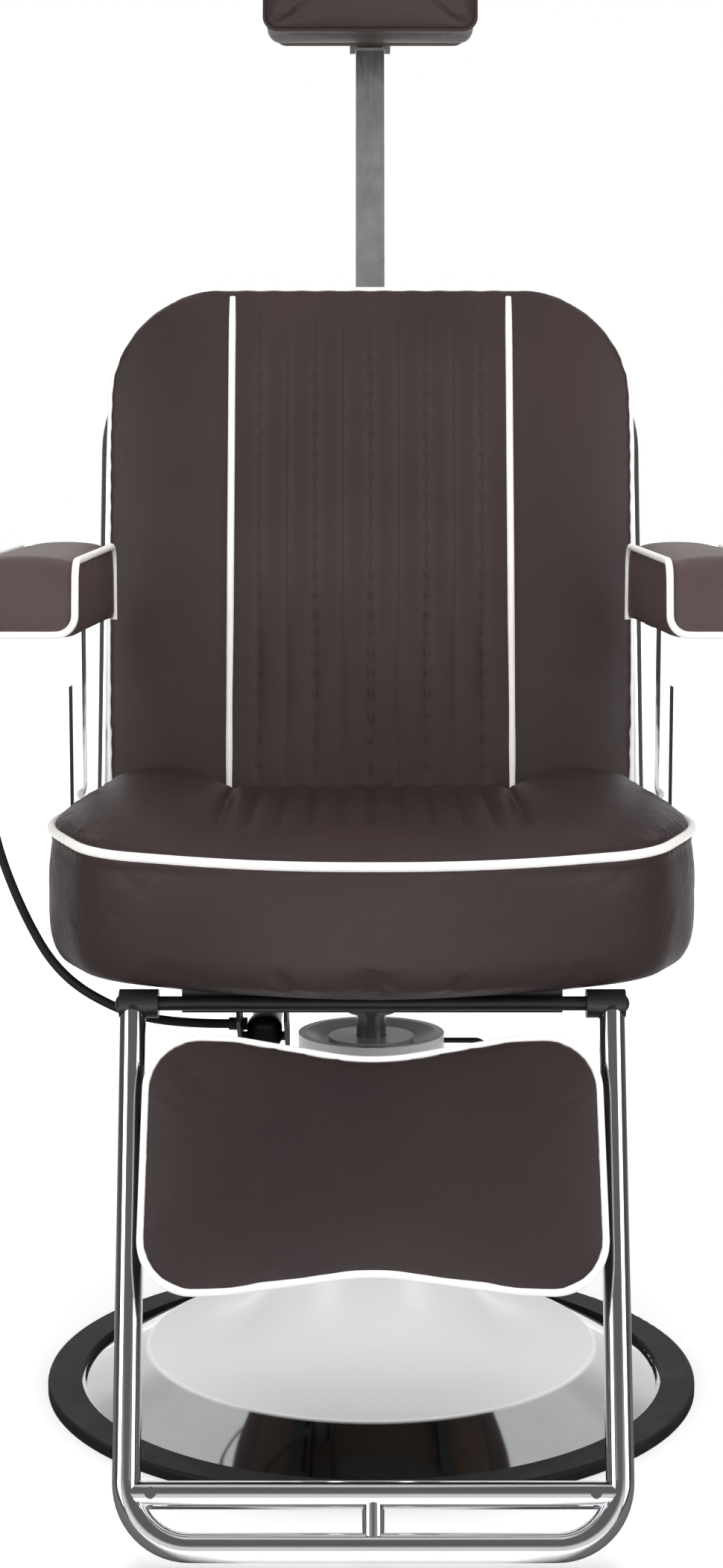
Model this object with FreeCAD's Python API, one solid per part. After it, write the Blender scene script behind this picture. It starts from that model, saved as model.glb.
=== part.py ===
import FreeCAD, Part
import math
import os

os.makedirs("parts", exist_ok=True)

# Threading chair on a round hydraulic base. Millimetres, +Z up, the sitter faces -Y,
# and the origin is on the floor under the middle of the column.

V = FreeCAD.Vector
X_AXIS = V(1, 0, 0)
Z_AXIS = V(0, 0, 1)
ORIGIN = V(0, 0, 0)
SIDES = (-1, 1)

# Driving dimensions
rim_radius = 300.0
column_radius = 67.0
cap_height = 328.0
seat_half_width = 288.0
seat_front = 266.0
seat_rear = 146.0
seat_over_cap = 95.0
seat_thickness = 122.0
back_pivot_y = 218.0
back_pivot_rise = 5.0
back_tilt_deg = 14.0
back_half_width = 261.0
back_bottom = 68.0
back_top = 598.0
back_depth = 90.0
footrest_pivot_y = -207.0
footrest_pivot_drop = 25.0
footrest_tilt_deg = 30.7
footrest_length = 436.0
footrest_top_half = 199.5
arm_inner = 242.0
arm_width = 88.0
arm_over_seat = 279.0
arm_thickness = 64.0
arm_front = 206.0
arm_rear = 112.0
headrest_bottom = 877.0
headrest_height = 135.0
headrest_half_width = 109.0

# Heights that follow from them
seat_underside = cap_height + seat_over_cap
seat_middle = seat_underside + seat_thickness
back_pivot_z = seat_underside + back_pivot_rise
footrest_pivot_z = seat_underside - footrest_pivot_drop
arm_underside = seat_underside + arm_over_seat
arm_top = arm_underside + arm_thickness

# Clearances that the fits share
pin_gap = 0.05
running_gap = 0.3
overrun = 5.0

# Tubes, sheets and piping that several pieces share
frame_tube_radius = 11.0
frame_tube_wall = 1.5
bar_height = 22.0
bar_wall = 2.5
board_thickness = 12.0
piping_radius = 4.0
arm_piping_radius = 3.0
back_piping_radius = 3.5
channel_count = 10


def save(name, *shapes):
    """write one sub-part; several solids stay apart in it"""
    solids = [solid for shape in shapes for solid in shape.Solids]
    whole = solids[0] if len(solids) == 1 else Part.makeCompound(solids)
    whole.exportStep("parts/" + name + ".step")
    volume = sum(solid.Volume for solid in solids) / 1000.0
    print(f"{name:24s} {len(solids)} solids  {volume:9.2f} cm3  valid {whole.isValid()}")


def block(x0, x1, y0, y1, z0, z1):
    return Part.makeBox(x1 - x0, y1 - y0, z1 - z0, V(x0, y0, z0))


def rod(start, end, radius):
    along = end - start
    return Part.makeCylinder(radius, along.Length, start, along)


def fused(shapes):
    whole = shapes[0]
    for shape in shapes[1:]:
        whole = whole.fuse(shape)
    return whole.removeSplitter()


def mirrored(shape):
    return shape.mirror(ORIGIN, X_AXIS)


def tilted(shape, pivot_y, pivot_z, angle_deg):
    """carry a shape from an upright frame to one that leans back about its pivot"""
    leaning = shape.copy()
    turn = FreeCAD.Rotation(X_AXIS, -angle_deg)
    leaning.Placement = FreeCAD.Placement(V(0, pivot_y, pivot_z), turn).multiply(leaning.Placement)
    return leaning


def on_back(shape):
    return tilted(shape, back_pivot_y, back_pivot_z, back_tilt_deg)


def on_footrest(shape):
    return tilted(shape, footrest_pivot_y, footrest_pivot_z, footrest_tilt_deg)


def corner_arc(before, corner, after, radius):
    """the arc that rounds one corner of a path"""
    back = (before - corner).normalize()
    ahead = (after - corner).normalize()
    half_angle = back.getAngle(ahead) / 2.0
    reach = radius / math.tan(half_angle)
    inward = (back + ahead).normalize()
    middle = corner + inward * (radius / math.sin(half_angle) - radius)
    return corner + back * reach, middle, corner + ahead * reach


def rounded_edges(points, radii, closed=False):
    """straight runs joined by tangent arcs; radii has one value per corner"""
    count = len(points)
    corners = range(count) if closed else range(1, count - 1)
    arcs = []
    for place, index in enumerate(corners):
        radius = radii[place]
        before = points[index - 1]
        after = points[(index + 1) % count]
        arcs.append(corner_arc(before, points[index], after, radius))
    edges = []
    if closed:
        last = arcs[-1][2]
    else:
        last = points[0]
    for first, middle, end in arcs:
        edges.append(Part.LineSegment(last, first).toShape())
        edges.append(Part.Arc(first, middle, end).toShape())
        last = end
    if not closed:
        edges.append(Part.LineSegment(last, points[-1]).toShape())
    return edges


def rounded_wire(points, radii, closed=False):
    return Part.Wire(rounded_edges(points, radii, closed))


def tube_along(wire, radius, wall=0):
    """a round tube along a wire of runs and arcs"""
    start = wire.OrderedEdges[0]
    place = start.valueAt(start.FirstParameter)
    along = start.tangentAt(start.FirstParameter)

    def swept(size):
        ring = Part.Wire(Part.makeCircle(size, place, along))
        return wire.makePipeShell([ring], True, False)

    solid = swept(radius)
    if solid.Volume < 0:
        solid.reverse()
    if wall:
        solid = solid.cut(swept(radius - wall))
    return solid


def turned(points):
    """a ring from points of radius and height, turned about the column"""
    corners = [V(radius, 0, height) for radius, height in points]
    face = Part.Face(Part.makePolygon(corners + corners[:1]))
    return face.revolve(ORIGIN, Z_AXIS, 360)


def mirrored_points(half):
    """an outline's points from its right half, given from bottom to top"""
    left = [(-across, up) for across, up in reversed(half) if across]
    return list(half) + left


def drawn_in(points, amount):
    """outline points moved towards the middle by a length, both ways"""
    middle_a = (min(a for a, b in points) + max(a for a, b in points)) / 2.0
    middle_b = (min(b for a, b in points) + max(b for a, b in points)) / 2.0
    moved = []
    for a, b in points:
        step_a = 0.0 if a == middle_a else math.copysign(1.0, a - middle_a) * amount
        moved.append((a - step_a, b - math.copysign(1.0, b - middle_b) * amount))
    return moved


def padded_block(points, radii, stations, place):
    """a loft of one outline through depths; each station is a depth and how far it draws in"""
    wires = []
    for depth, amount in stations:
        spots = [place(a, b, depth) for a, b in drawn_in(points, amount)]
        wires.append(rounded_wire(spots, radii, True))
    return Part.makeLoft(wires, True, False)


def between(low, high, share):
    return low + (high - low) * share


def padding(points, radii, low, high, draw, shares, place):
    """a padded form; each share pair is a place between two depths and a part of the most it draws in"""
    stations = [(between(low, high, depth_share), draw * draw_share) for depth_share, draw_share in shares]
    return padded_block(points, radii, stations, place)


def crown_stations(low, high, level, crown, place_shares, height_shares):
    """stations of a channelled form, from shares of its length and of its crown"""
    stations = []
    for place_share, heights in zip(place_shares, height_shares):
        stations.append([between(low, high, place_share)] + [level + crown * height for height in heights])
    return stations


def channelled_block(half_width, panel_half, floor, stations, place):
    """a loft with a bolster each side and sewn channels between.
    each station is a place along it, then the heights of side, bolster, seam and ridge"""
    wires = []
    for along, side, bolster, seam, ridge in stations:
        marks = [-panel_half + 2.0 * panel_half * n / channel_count for n in range(channel_count + 1)]
        middle = (half_width + panel_half) / 2.0
        seams = [place(mark, seam, along) for mark in marks]
        left = place(-half_width, side, along)
        right = place(half_width, side, along)
        edges = [Part.Arc(left, place(-middle, bolster, along), seams[0]).toShape()]
        for n in range(channel_count):
            crest = place((marks[n] + marks[n + 1]) / 2.0, ridge, along)
            edges.append(Part.Arc(seams[n], crest, seams[n + 1]).toShape())
        edges.append(Part.Arc(seams[-1], place(middle, bolster, along), right).toShape())
        low_right = place(half_width, floor, along)
        low_left = place(-half_width, floor, along)
        for first, second in ((right, low_right), (low_right, low_left), (low_left, left)):
            edges.append(Part.LineSegment(first, second).toShape())
        wires.append(Part.Wire(edges))
    return Part.makeLoft(wires, True, False)


# Base, its dish and rim
rim_width = 31.0
rim_height = 10.0
rim_round = 3.0
sheet = 2.5
flange_top = 6.0
flange_seat = 8.0
step_radius = 206.0
step_height = 37.0
step_foot = 60.0
step_round = 4.0
step_land = 6.0
neck_height = 6.0
plate_thickness = 8.0
plate_share = 0.73
bell_start = step_radius - step_land
neck_radius = column_radius + sheet
bell_radius = bell_start - neck_radius
neck_bottom = step_height + bell_radius
flange_edge = rim_radius - rim_width + flange_seat

# Pump inside the column
pump_flange_radius = 62.0
pump_flange_thickness = 10.0
bolt_circle = 50.0
bolt_radius = 5.0
bolt_head_radius = 8.0
bolt_head_height = 6.5
cylinder_radius = 38.0
chamber_radius = 30.0
chamber_floor = 8.0
ram_radius = 13.5
gland_radius = 24.0
gland_height = 20.0
gland_lip = 4.0
cover_wall = 1.5
cover_bottom = 150.0
cap_thickness = 16.0
cap_rim = 7.0
cap_dish = 7.0
cap_boss_radius = 39.0
cap_boss_step = 4.0
cap_clear = 12.0
plate_bottom = flange_top - sheet
pump_foot = plate_thickness
cap_bottom = cap_height - cap_thickness
cylinder_top = cap_bottom - cap_clear
cylinder_bottom = pump_foot + pump_flange_thickness


def dish_profile():
    """outer skin of the dish from its flange to the neck, then the inner skin back"""
    centre = V(bell_start, 0, neck_bottom)

    def bell(radius):
        top = centre + V(-radius, 0, 0)
        foot = centre + V(0, 0, -radius)
        middle = centre + V(-radius, 0, -radius).normalize() * radius
        return top, middle, foot

    top, middle, foot = bell(bell_radius)
    inner_top, inner_middle, inner_foot = bell(bell_radius + sheet)
    outer_run = [foot, V(step_radius, 0, step_height), V(step_radius + step_foot, 0, flange_top),
                 V(flange_edge, 0, flange_top)]
    inner_run = [V(flange_edge, 0, plate_bottom), V(step_radius + step_foot - sheet, 0, plate_bottom),
                 V(step_radius - sheet, 0, step_height - sheet), inner_foot]
    edges = [Part.Arc(top, middle, foot).toShape()]
    edges += rounded_edges(outer_run, [step_round, step_round])
    edges.append(Part.LineSegment(outer_run[-1], inner_run[0]).toShape())
    edges += rounded_edges(inner_run, [step_round, step_round])
    edges.append(Part.Arc(inner_foot, inner_middle, inner_top).toShape())
    lip_inner = inner_top + V(0, 0, neck_height)
    lip_outer = top + V(0, 0, neck_height)
    for first, second in ((inner_top, lip_inner), (lip_inner, lip_outer), (lip_outer, top)):
        edges.append(Part.LineSegment(first, second).toShape())
    return Part.Wire(edges)


def around(radius, count, first_deg=0.0):
    """places on a circle about the column"""
    for n in range(count):
        angle = math.radians(first_deg + 360.0 * n / count)
        yield V(radius * math.cos(angle), radius * math.sin(angle), 0)


def make_base():
    dish = Part.Face(dish_profile()).revolve(ORIGIN, Z_AXIS, 360)
    save("base_dish", dish)

    rim = Part.makeCylinder(rim_radius, rim_height)
    rim = rim.makeFillet(rim_round, [edge for edge in rim.Edges if edge.BoundBox.ZMin > rim_height / 2.0])
    hole = Part.makeCylinder(rim_radius - rim_width, rim_height + overrun * 2.0, V(0, 0, -overrun))
    groove = Part.makeCylinder(flange_edge, sheet, V(0, 0, plate_bottom))
    save("base_rim", rim.cut(hole).cut(groove))

    plate = Part.makeCylinder(step_radius + step_foot * plate_share, plate_thickness)
    plate = fused([plate, Part.makeCylinder(rim_radius - rim_width - running_gap, plate_bottom)])
    flange = Part.makeCylinder(pump_flange_radius, pump_flange_thickness, V(0, 0, pump_foot))
    bolts = []
    for spot in around(bolt_circle, 4, 45.0):
        shank = rod(spot + V(0, 0, plate_bottom), spot + V(0, 0, cylinder_bottom), bolt_radius)
        head = Part.makeCylinder(bolt_head_radius, bolt_head_height, spot + V(0, 0, cylinder_bottom))
        bolts.append(shank.fuse(head).removeSplitter())
    for bolt in bolts:
        plate = plate.cut(bolt)
        flange = flange.cut(bolt)
    save("base_plate", plate)
    save("pump_flange_bolts", *bolts)

    cylinder = Part.makeCylinder(cylinder_radius, cylinder_top - cylinder_bottom, V(0, 0, cylinder_bottom))
    chamber_bottom = cylinder_bottom + chamber_floor
    chamber_top = cylinder_top - gland_height
    cylinder = cylinder.cut(rod(V(0, 0, chamber_bottom), V(0, 0, chamber_top), chamber_radius))
    cylinder = cylinder.cut(rod(V(0, 0, chamber_top), V(0, 0, cylinder_top + overrun), gland_radius))
    save("pump_cylinder", fused([cylinder, flange]))
    gland = rod(V(0, 0, chamber_top), V(0, 0, cylinder_top), gland_radius)
    gland = gland.fuse(Part.makeCylinder(chamber_radius, gland_lip, V(0, 0, cylinder_top)))
    bore = rod(V(0, 0, chamber_top - overrun), V(0, 0, cap_height), ram_radius + pin_gap)
    save("pump_gland", gland.cut(bore).removeSplitter())

    cover = rod(V(0, 0, cover_bottom), V(0, 0, cap_bottom), column_radius)
    cover = cover.cut(rod(V(0, 0, cover_bottom - overrun), V(0, 0, cap_height), column_radius - cover_wall))
    pivot, pedal, pedal_pad = pedal_pieces()
    pivot = pivot.cut(rod(V(0, 0, cover_bottom), V(0, 0, cap_height), column_radius))
    save("column_cover", fused([cover, pivot]))
    save("pump_pedal", pedal)
    save("pedal_pad", pedal_pad)

    ram_hole = ram_radius + running_gap * 2.0
    rim_edge = column_radius - cap_rim
    cap = turned([
        (ram_hole, cylinder_top + gland_lip), (chamber_radius, cylinder_top + gland_lip),
        (chamber_radius, cap_bottom), (column_radius, cap_bottom), (column_radius, cap_height),
        (rim_edge, cap_height), (cap_boss_radius + cap_boss_step, cap_height - cap_dish),
        (cap_boss_radius, cap_height - cap_dish), (cap_boss_radius, cap_height - cap_dish + cap_boss_step),
        (ram_hole, cap_height - cap_dish + cap_boss_step)])
    lever, knob = brake_pieces()
    stub = rod(V(brake_inner, 0, brake_height), V(column_radius + overrun, 0, brake_height),
               brake_radius + pin_gap)
    save("column_cap", cap.cut(stub))
    save("brake_lever", lever)
    save("brake_knob", knob)


# Brake lever at the side of the cap
brake_height = cap_height - cap_thickness / 2.0
brake_radius = 2.5
brake_inner = 50.0
brake_reach = 107.0
brake_length = 72.0
brake_bend = 12.0
brake_knob_radius = 8.0


def brake_pieces():
    path = [V(brake_inner, 0, brake_height), V(brake_reach, 0, brake_height),
            V(brake_reach, 0, brake_height - brake_length)]
    lever = tube_along(rounded_wire(path, [brake_bend]), brake_radius)
    ball = Part.makeSphere(brake_knob_radius, path[-1])
    return lever, ball.cut(lever)


# Foot pedal behind the column
pedal_reach = 15.0
pedal_pivot_y = column_radius + pedal_reach
pedal_pivot_z = 192.0
pedal_pin_radius = 4.0
pedal_ear_radius = 11.0
pedal_ear_gap = 6.5
pedal_ear_thickness = 5.0
pedal_end_y = 318.0
pedal_end_z = 92.0
pedal_half_width = 6.0
pedal_bar = 18.0
pedal_pad_length = 62.0
pedal_pad_half_width = 27.0
pedal_pad_thickness = 11.0


def pedal_pieces():
    pivot_spot = V(0, pedal_pivot_y, pedal_pivot_z)
    reach = pedal_ear_gap + pedal_ear_thickness
    ears = []
    for side in SIDES:
        inner = V(side * pedal_ear_gap, pedal_pivot_y, pedal_pivot_z)
        outer = V(side * reach, pedal_pivot_y, pedal_pivot_z)
        boss = rod(inner, outer, pedal_ear_radius)
        low_x = min(inner.x, outer.x)
        web = block(low_x, low_x + pedal_ear_thickness, column_radius - overrun, pedal_pivot_y,
                    pedal_pivot_z - pedal_ear_radius, pedal_pivot_z + pedal_ear_radius)
        ears.append(boss.fuse(web))
    foot = block(-reach, reach, column_radius - overrun, column_radius + sheet,
                 pedal_pivot_z - pedal_ear_radius, pedal_pivot_z + pedal_ear_radius)
    pin = rod(V(-reach, pedal_pivot_y, pedal_pivot_z), V(reach, pedal_pivot_y, pedal_pivot_z),
              pedal_pin_radius)
    pivot = fused([foot, pin] + ears)

    end_spot = V(0, pedal_end_y, pedal_end_z)
    half = V(pedal_half_width, 0, 0)
    eye = rod(pivot_spot - half, pivot_spot + half, pedal_ear_radius - running_gap)
    toe = rod(end_spot - half, end_spot + half, pedal_bar / 2.0)
    along = (end_spot - pivot_spot).normalize()
    across = X_AXIS.cross(along) * (pedal_bar / 2.0)
    corners = [pivot_spot - half + across, end_spot - half + across,
               end_spot - half - across, pivot_spot - half - across]
    bar = Part.Face(Part.makePolygon(corners + corners[:1])).extrude(half * 2.0)
    arm = fused([bar, eye, toe])
    arm = arm.cut(rod(pivot_spot - half * 2.0, pivot_spot + half * 2.0, pedal_pin_radius + pin_gap))
    pad = block(-pedal_pad_half_width, pedal_pad_half_width, -pedal_pad_length + pedal_bar / 2.0,
                pedal_bar / 2.0, 0, pedal_pad_thickness)
    pad = pad.makeFillet(pedal_pad_thickness / 3.0, pad.Edges)
    slope = -math.degrees(math.atan2(along.z, along.y))
    pad.Placement = FreeCAD.Placement(end_spot + across, FreeCAD.Rotation(X_AXIS, -slope))
    return pivot, arm, pad


# Ram, its piston and thrust collar
piston_height = 20.0
piston_lift = 4.0
collar_radius = 22.0
collar_rise = 19.0
collar_bottom = cap_height + collar_rise
collar_thickness = 5.0
bearing_height = 4.0
bearing_gap = 0.1
hub_radius = 24.0
hub_roof = 7.0
plate_half_width = 158.0
plate_half_depth = 85.0
swivel_plate_thickness = 6.0
frame_bottom = seat_underside - board_thickness - bar_height
swivel_plate_bottom = frame_bottom - swivel_plate_thickness
ram_top = swivel_plate_bottom - hub_roof
hub_bottom = collar_bottom + collar_thickness + bearing_height


def make_ram():
    piston_bottom = cylinder_bottom + chamber_floor + piston_lift
    ram = rod(V(0, 0, piston_bottom), V(0, 0, ram_top), ram_radius)
    piston = Part.makeCylinder(chamber_radius - pin_gap, piston_height, V(0, 0, piston_bottom))
    collar = Part.makeCylinder(collar_radius, collar_thickness, V(0, 0, collar_bottom))
    save("ram", fused([ram, piston, collar]))


# Seat frame
bar_width = 26.0
front_bar_depth = 50.0
axle_radius = 6.0
axle_flat = 0.5
front_bar_front = footrest_pivot_y + axle_radius - axle_flat
front_bar_half = 159.0
rail_half = plate_half_width
rail_rear = 166.0
rear_bar_half = 228.0
axle_half = footrest_top_half + frame_tube_radius + running_gap
lug_thickness = 8.0
lug_radius = 16.0
hinge_pin_radius = 6.0
hinge_pin_head = 9.0
hinge_pin_head_height = 4.0
upright_half = 265.0
boss_radius = 14.0
plate_bolt_x = 145.0
plate_bolt_y = 65.0
board_half_width = 235.0
board_front = 185.0
board_rear = 118.0
board_corner = 60.0
screw_radius = 3.0
screw_head_radius = 5.5
screw_head_height = 3.0
screw_depth_share = 0.8
screw_place_shares = (0.12, 0.42, 0.78)
nut_round = 8.75
nut_rise = 3.5
frame_top = seat_underside - board_thickness


def box_tube(x0, x1, y0, y1, along_x):
    """a rectangular tube of the seat frame, open at both ends"""
    bar = block(x0, x1, y0, y1, frame_bottom, frame_top)
    low = frame_bottom + bar_wall
    high = frame_top - bar_wall
    if along_x:
        return bar.cut(block(x0 - overrun, x1 + overrun, y0 + bar_wall, y1 - bar_wall, low, high))
    return bar.cut(block(x0 + bar_wall, x1 - bar_wall, y0 - overrun, y1 + overrun, low, high))


def seat_board_blank():
    """the board that the seat cushion is drawn down over"""
    outline = [V(-board_half_width, -board_front, frame_top), V(board_half_width, -board_front, frame_top),
               V(board_half_width, board_rear, frame_top), V(-board_half_width, board_rear, frame_top)]
    return Part.Face(rounded_wire(outline, [board_corner] * 4, True)).extrude(V(0, 0, board_thickness))


def make_seat_frame():
    hub = Part.makeCylinder(hub_radius, swivel_plate_bottom - hub_bottom, V(0, 0, hub_bottom))
    hub = hub.cut(rod(V(0, 0, hub_bottom - overrun), V(0, 0, ram_top + running_gap), ram_radius + pin_gap))
    ring_bottom = collar_bottom + collar_thickness + bearing_gap
    ring = Part.makeCylinder(collar_radius, hub_bottom - ring_bottom, V(0, 0, ring_bottom))
    ring = ring.cut(rod(V(0, 0, collar_bottom), V(0, 0, ram_top), ram_radius + running_gap * 2.0))
    save("thrust_bearing", ring)

    bolts = []
    for side in SIDES:
        for end in SIDES:
            spot = V(side * plate_bolt_x, end * plate_bolt_y, 0)
            shank = rod(spot + V(0, 0, swivel_plate_bottom), spot + V(0, 0, frame_bottom + bar_height / 2.0),
                        bolt_radius)
            head = rod(spot + V(0, 0, swivel_plate_bottom - bolt_head_height),
                       spot + V(0, 0, swivel_plate_bottom), bolt_head_radius)
            bolts.append(shank.fuse(head).removeSplitter())
    plate = block(-plate_half_width, plate_half_width, -plate_half_depth, plate_half_depth,
                  swivel_plate_bottom, frame_bottom)
    front_bar_rear = front_bar_front + front_bar_depth
    rails = [box_tube(rail_half - bar_width, rail_half, front_bar_rear, rail_rear, False)]
    rails.append(mirrored(rails[0]))
    for bolt in bolts:
        plate = plate.cut(bolt)
        rails = [rail.cut(bolt) for rail in rails]
    save("swivel_plate", fused([plate, hub]))
    save("swivel_bolts", *bolts)

    screws = []
    for side in SIDES:
        for share in screw_place_shares:
            spot_y = front_bar_rear + (rail_rear - front_bar_rear) * share
            spot = V(side * (rail_half - bar_width / 2.0), spot_y, 0)
            shank = rod(spot + V(0, 0, frame_top - bar_wall),
                        spot + V(0, 0, between(frame_top, seat_underside, screw_depth_share)), screw_radius)
            head = rod(spot + V(0, 0, frame_top - bar_wall - screw_head_height),
                       spot + V(0, 0, frame_top - bar_wall), screw_head_radius)
            screws.append(shank.fuse(head).removeSplitter())
    for screw in screws:
        rails = [rail.cut(screw) for rail in rails]
    save("frame_rails", *rails)
    save("seat_screws", *screws)
    front_bar = box_tube(-front_bar_half, front_bar_half, front_bar_front, front_bar_rear, True)
    rear_bar = box_tube(-rear_bar_half, rear_bar_half, rail_rear, rail_rear + bar_width, True)

    board = seat_board_blank()
    for screw in screws:
        board = board.cut(screw)
    save("seat_board", board)

    axle_left = V(-axle_half, footrest_pivot_y, footrest_pivot_z)
    axle_right = V(axle_half, footrest_pivot_y, footrest_pivot_z)
    axle = rod(axle_left, axle_right, axle_radius)
    save("footrest_axle", axle.cut(block(-front_bar_half, front_bar_half, front_bar_front,
                                         front_bar_front + overrun, frame_bottom, frame_top)))
    nuts = []
    for side in SIDES:
        centre = V(side * (axle_half - nut_round + nut_rise), footrest_pivot_y, footrest_pivot_z)
        dome = Part.makeSphere(nut_round, centre)
        inside = rod(V(side * (axle_half - nut_round * 2.0), footrest_pivot_y, footrest_pivot_z),
                     V(side * axle_half, footrest_pivot_y, footrest_pivot_z), nut_round * 2.0)
        nuts.append(dome.cut(inside))
    save("axle_nuts", *nuts)

    lugs = []
    pins = []
    for side in SIDES:
        inner = side * rear_bar_half
        outer = side * (rear_bar_half + lug_thickness)
        low_x = min(inner, outer)
        centre = V(low_x, back_pivot_y, back_pivot_z)
        eye = rod(centre, centre + V(lug_thickness, 0, 0), lug_radius)
        corners = [V(low_x, rail_rear, frame_bottom), V(low_x, back_pivot_y + lug_radius / 2.0, frame_bottom),
                   V(low_x, back_pivot_y + lug_radius, back_pivot_z),
                   V(low_x, back_pivot_y - lug_radius, back_pivot_z),
                   V(low_x, rail_rear, frame_top)]
        cheek = Part.Face(Part.makePolygon(corners + corners[:1])).extrude(V(lug_thickness, 0, 0))
        pin_start = V(inner - side * hinge_pin_head_height, back_pivot_y, back_pivot_z)
        tip = V(side * (upright_half + frame_tube_radius + running_gap), back_pivot_y, back_pivot_z)
        head = rod(tip, tip + V(side * hinge_pin_head_height, 0, 0), hinge_pin_head)
        pin = rod(pin_start, tip, hinge_pin_radius).fuse(head).removeSplitter()
        pins.append(pin)
        lugs.append(cheek.fuse(eye).removeSplitter().cut(pin))
    save("frame_cross_bars", front_bar, fused([rear_bar] + lugs))
    save("back_hinge_pins", *pins)


# Seat cushion
seat_panel_half = 132.0
seat_rear_half = 254.0
seat_side_y = 75.0
seat_corner_half = 240.0
seat_corner_y = 205.0
seat_nose_half = 95.0
seat_piping_inset = 5.0
seat_side_swell = 10.0
seat_waist_y = 45.0
seat_post_gap = 4.5
seat_draw = 10.0
seat_crown = 10.0
seat_nose_radius = 380.0
seat_front_radius = 100.0
seat_side_radius = 160.0
seat_waist_radius = 300.0
seat_rear_radius = 45.0
# shares of the cushion's height and of the most that its boxing draws in
seat_boxing_shares = ((0.0, 1.0), (0.06, 0.5), (0.16, 0.14), (0.32, 0.0), (0.43, 0.0), (0.69, 0.1),
                      (0.9, 0.6), (1.19, 1.0))
# shares of the seat's depth
seat_place_shares = (-0.05, 0.04, 0.15, 0.3, 0.51, 0.8, 1.03)
# for each, the heights of side, bolster, seam and ridge as shares of the crown
seat_crown_shares = ((-3.2, -3.0, -3.0, -2.98), (-2.8, -2.2, -2.0, -1.98), (-2.6, -1.2, -1.0, -0.95),
                     (-2.5, 0.3, -0.5, -0.3), (-2.6, 1.4, -0.45, 0.0), (-2.6, 1.6, -0.45, 0.0),
                     (-2.6, 1.4, -0.55, -0.1))
# how far the piping lies below the crown at each corner of the outline, front to rear
seat_piping_shares = (2.4, 2.2, 1.5, 1.3, 1.9)


def seat_outline():
    waist_half = post_outer - post_thickness - seat_post_gap
    half = [(seat_nose_half, -seat_front), (seat_corner_half, -seat_corner_y),
            (seat_half_width + seat_side_swell, -seat_side_y), (waist_half, seat_waist_y),
            (seat_rear_half, seat_rear)]
    return mirrored_points(half)


def seat_radii():
    right = [seat_nose_radius, seat_front_radius, seat_side_radius, seat_waist_radius, seat_rear_radius]
    return right + list(reversed(right))


def make_seat():
    foot = frame_top + running_gap
    boxing = padding(seat_outline(), seat_radii(), foot, seat_middle, seat_draw, seat_boxing_shares,
                     lambda a, b, depth: V(a, b, depth))
    stations = crown_stations(-seat_front, seat_rear, seat_middle, seat_crown,
                              seat_place_shares, seat_crown_shares)
    crown = channelled_block(seat_half_width + seat_side_swell * 2.0, seat_panel_half, frame_top - overrun,
                             stations, lambda a, b, along: V(a, along, b))
    cushion = boxing.common(crown)
    path = [V(a, b, 0) for a, b in drawn_in(seat_outline(), seat_piping_inset)]
    heights = [seat_middle - seat_crown * share for share in seat_piping_shares]
    for point, height in zip(path, heights + list(reversed(heights))):
        point.z = height
    piping = tube_along(rounded_wire(path, seat_radii(), True), piping_radius)
    save("seat_cushion", cushion.cut(piping).cut(seat_board_blank()))
    save("seat_piping", piping)


# Arms
post_thickness = 9.0
post_depth = 36.0
post_y = 70.0
post_wall = 1.5
post_bend = 14.0
trim_thickness = 4.0
trim_drop = 60.0
trim_rise = 17.0
trim_top = arm_underside - trim_drop
trim_bottom = seat_underside + trim_rise
trim_inset = 5.0
post_outer = 277.0
arm_plate_thickness = 4.0
arm_plate_half = 36.0
arm_board_thickness = 10.0
arm_board_inset = 12.0
arm_board_end = 24.0
arm_corner_radius = 20.0
arm_crown = 5.0
arm_padding_shares = ((0.0, 1.0), (0.08, 0.1), (0.5, -0.9), (0.92, 0.1), (1.0, 1.0))
arm_rise = 7.0
arm_droop = 3.0
arm_nose_slant = 5.0
arm_low_radius = 6.0
arm_turn_radius = 16.0
arm_bow_radius = 120.0
arm_piping_inset = 1.5


def arm_outline():
    """the arm's side view: front, rear, and a top that rises to the rear"""
    return [(-arm_front - arm_nose_slant, arm_underside - arm_droop), (arm_rear, arm_underside - arm_droop),
            (arm_rear, arm_top + arm_rise), (-arm_front + arm_nose_slant, arm_top)]


def arm_radii():
    return [arm_low_radius, arm_low_radius, arm_corner_radius, arm_corner_radius]


def arm_piping_wire(inner, outer):
    """up the rear and forward along the inner top edge, down and across the nose, and back again outside"""
    front_low, rear_low, rear_top, front_top = drawn_in(arm_outline(), arm_piping_inset)
    low = arm_underside + arm_piping_radius
    middle = (inner + outer) / 2.0
    points = [V(inner, rear_low[0], arm_underside), V(inner, *rear_top), V(inner, *front_top),
              V(inner, front_low[0], low), V(middle, front_low[0] - arm_crown, low),
              V(outer, front_low[0], low), V(outer, *front_top), V(outer, *rear_top),
              V(outer, rear_low[0], arm_underside)]
    corner = arm_corner_radius - arm_piping_inset
    half = [corner, corner, arm_turn_radius]
    return rounded_wire(points, half + [arm_bow_radius] + list(reversed(half)))


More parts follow.
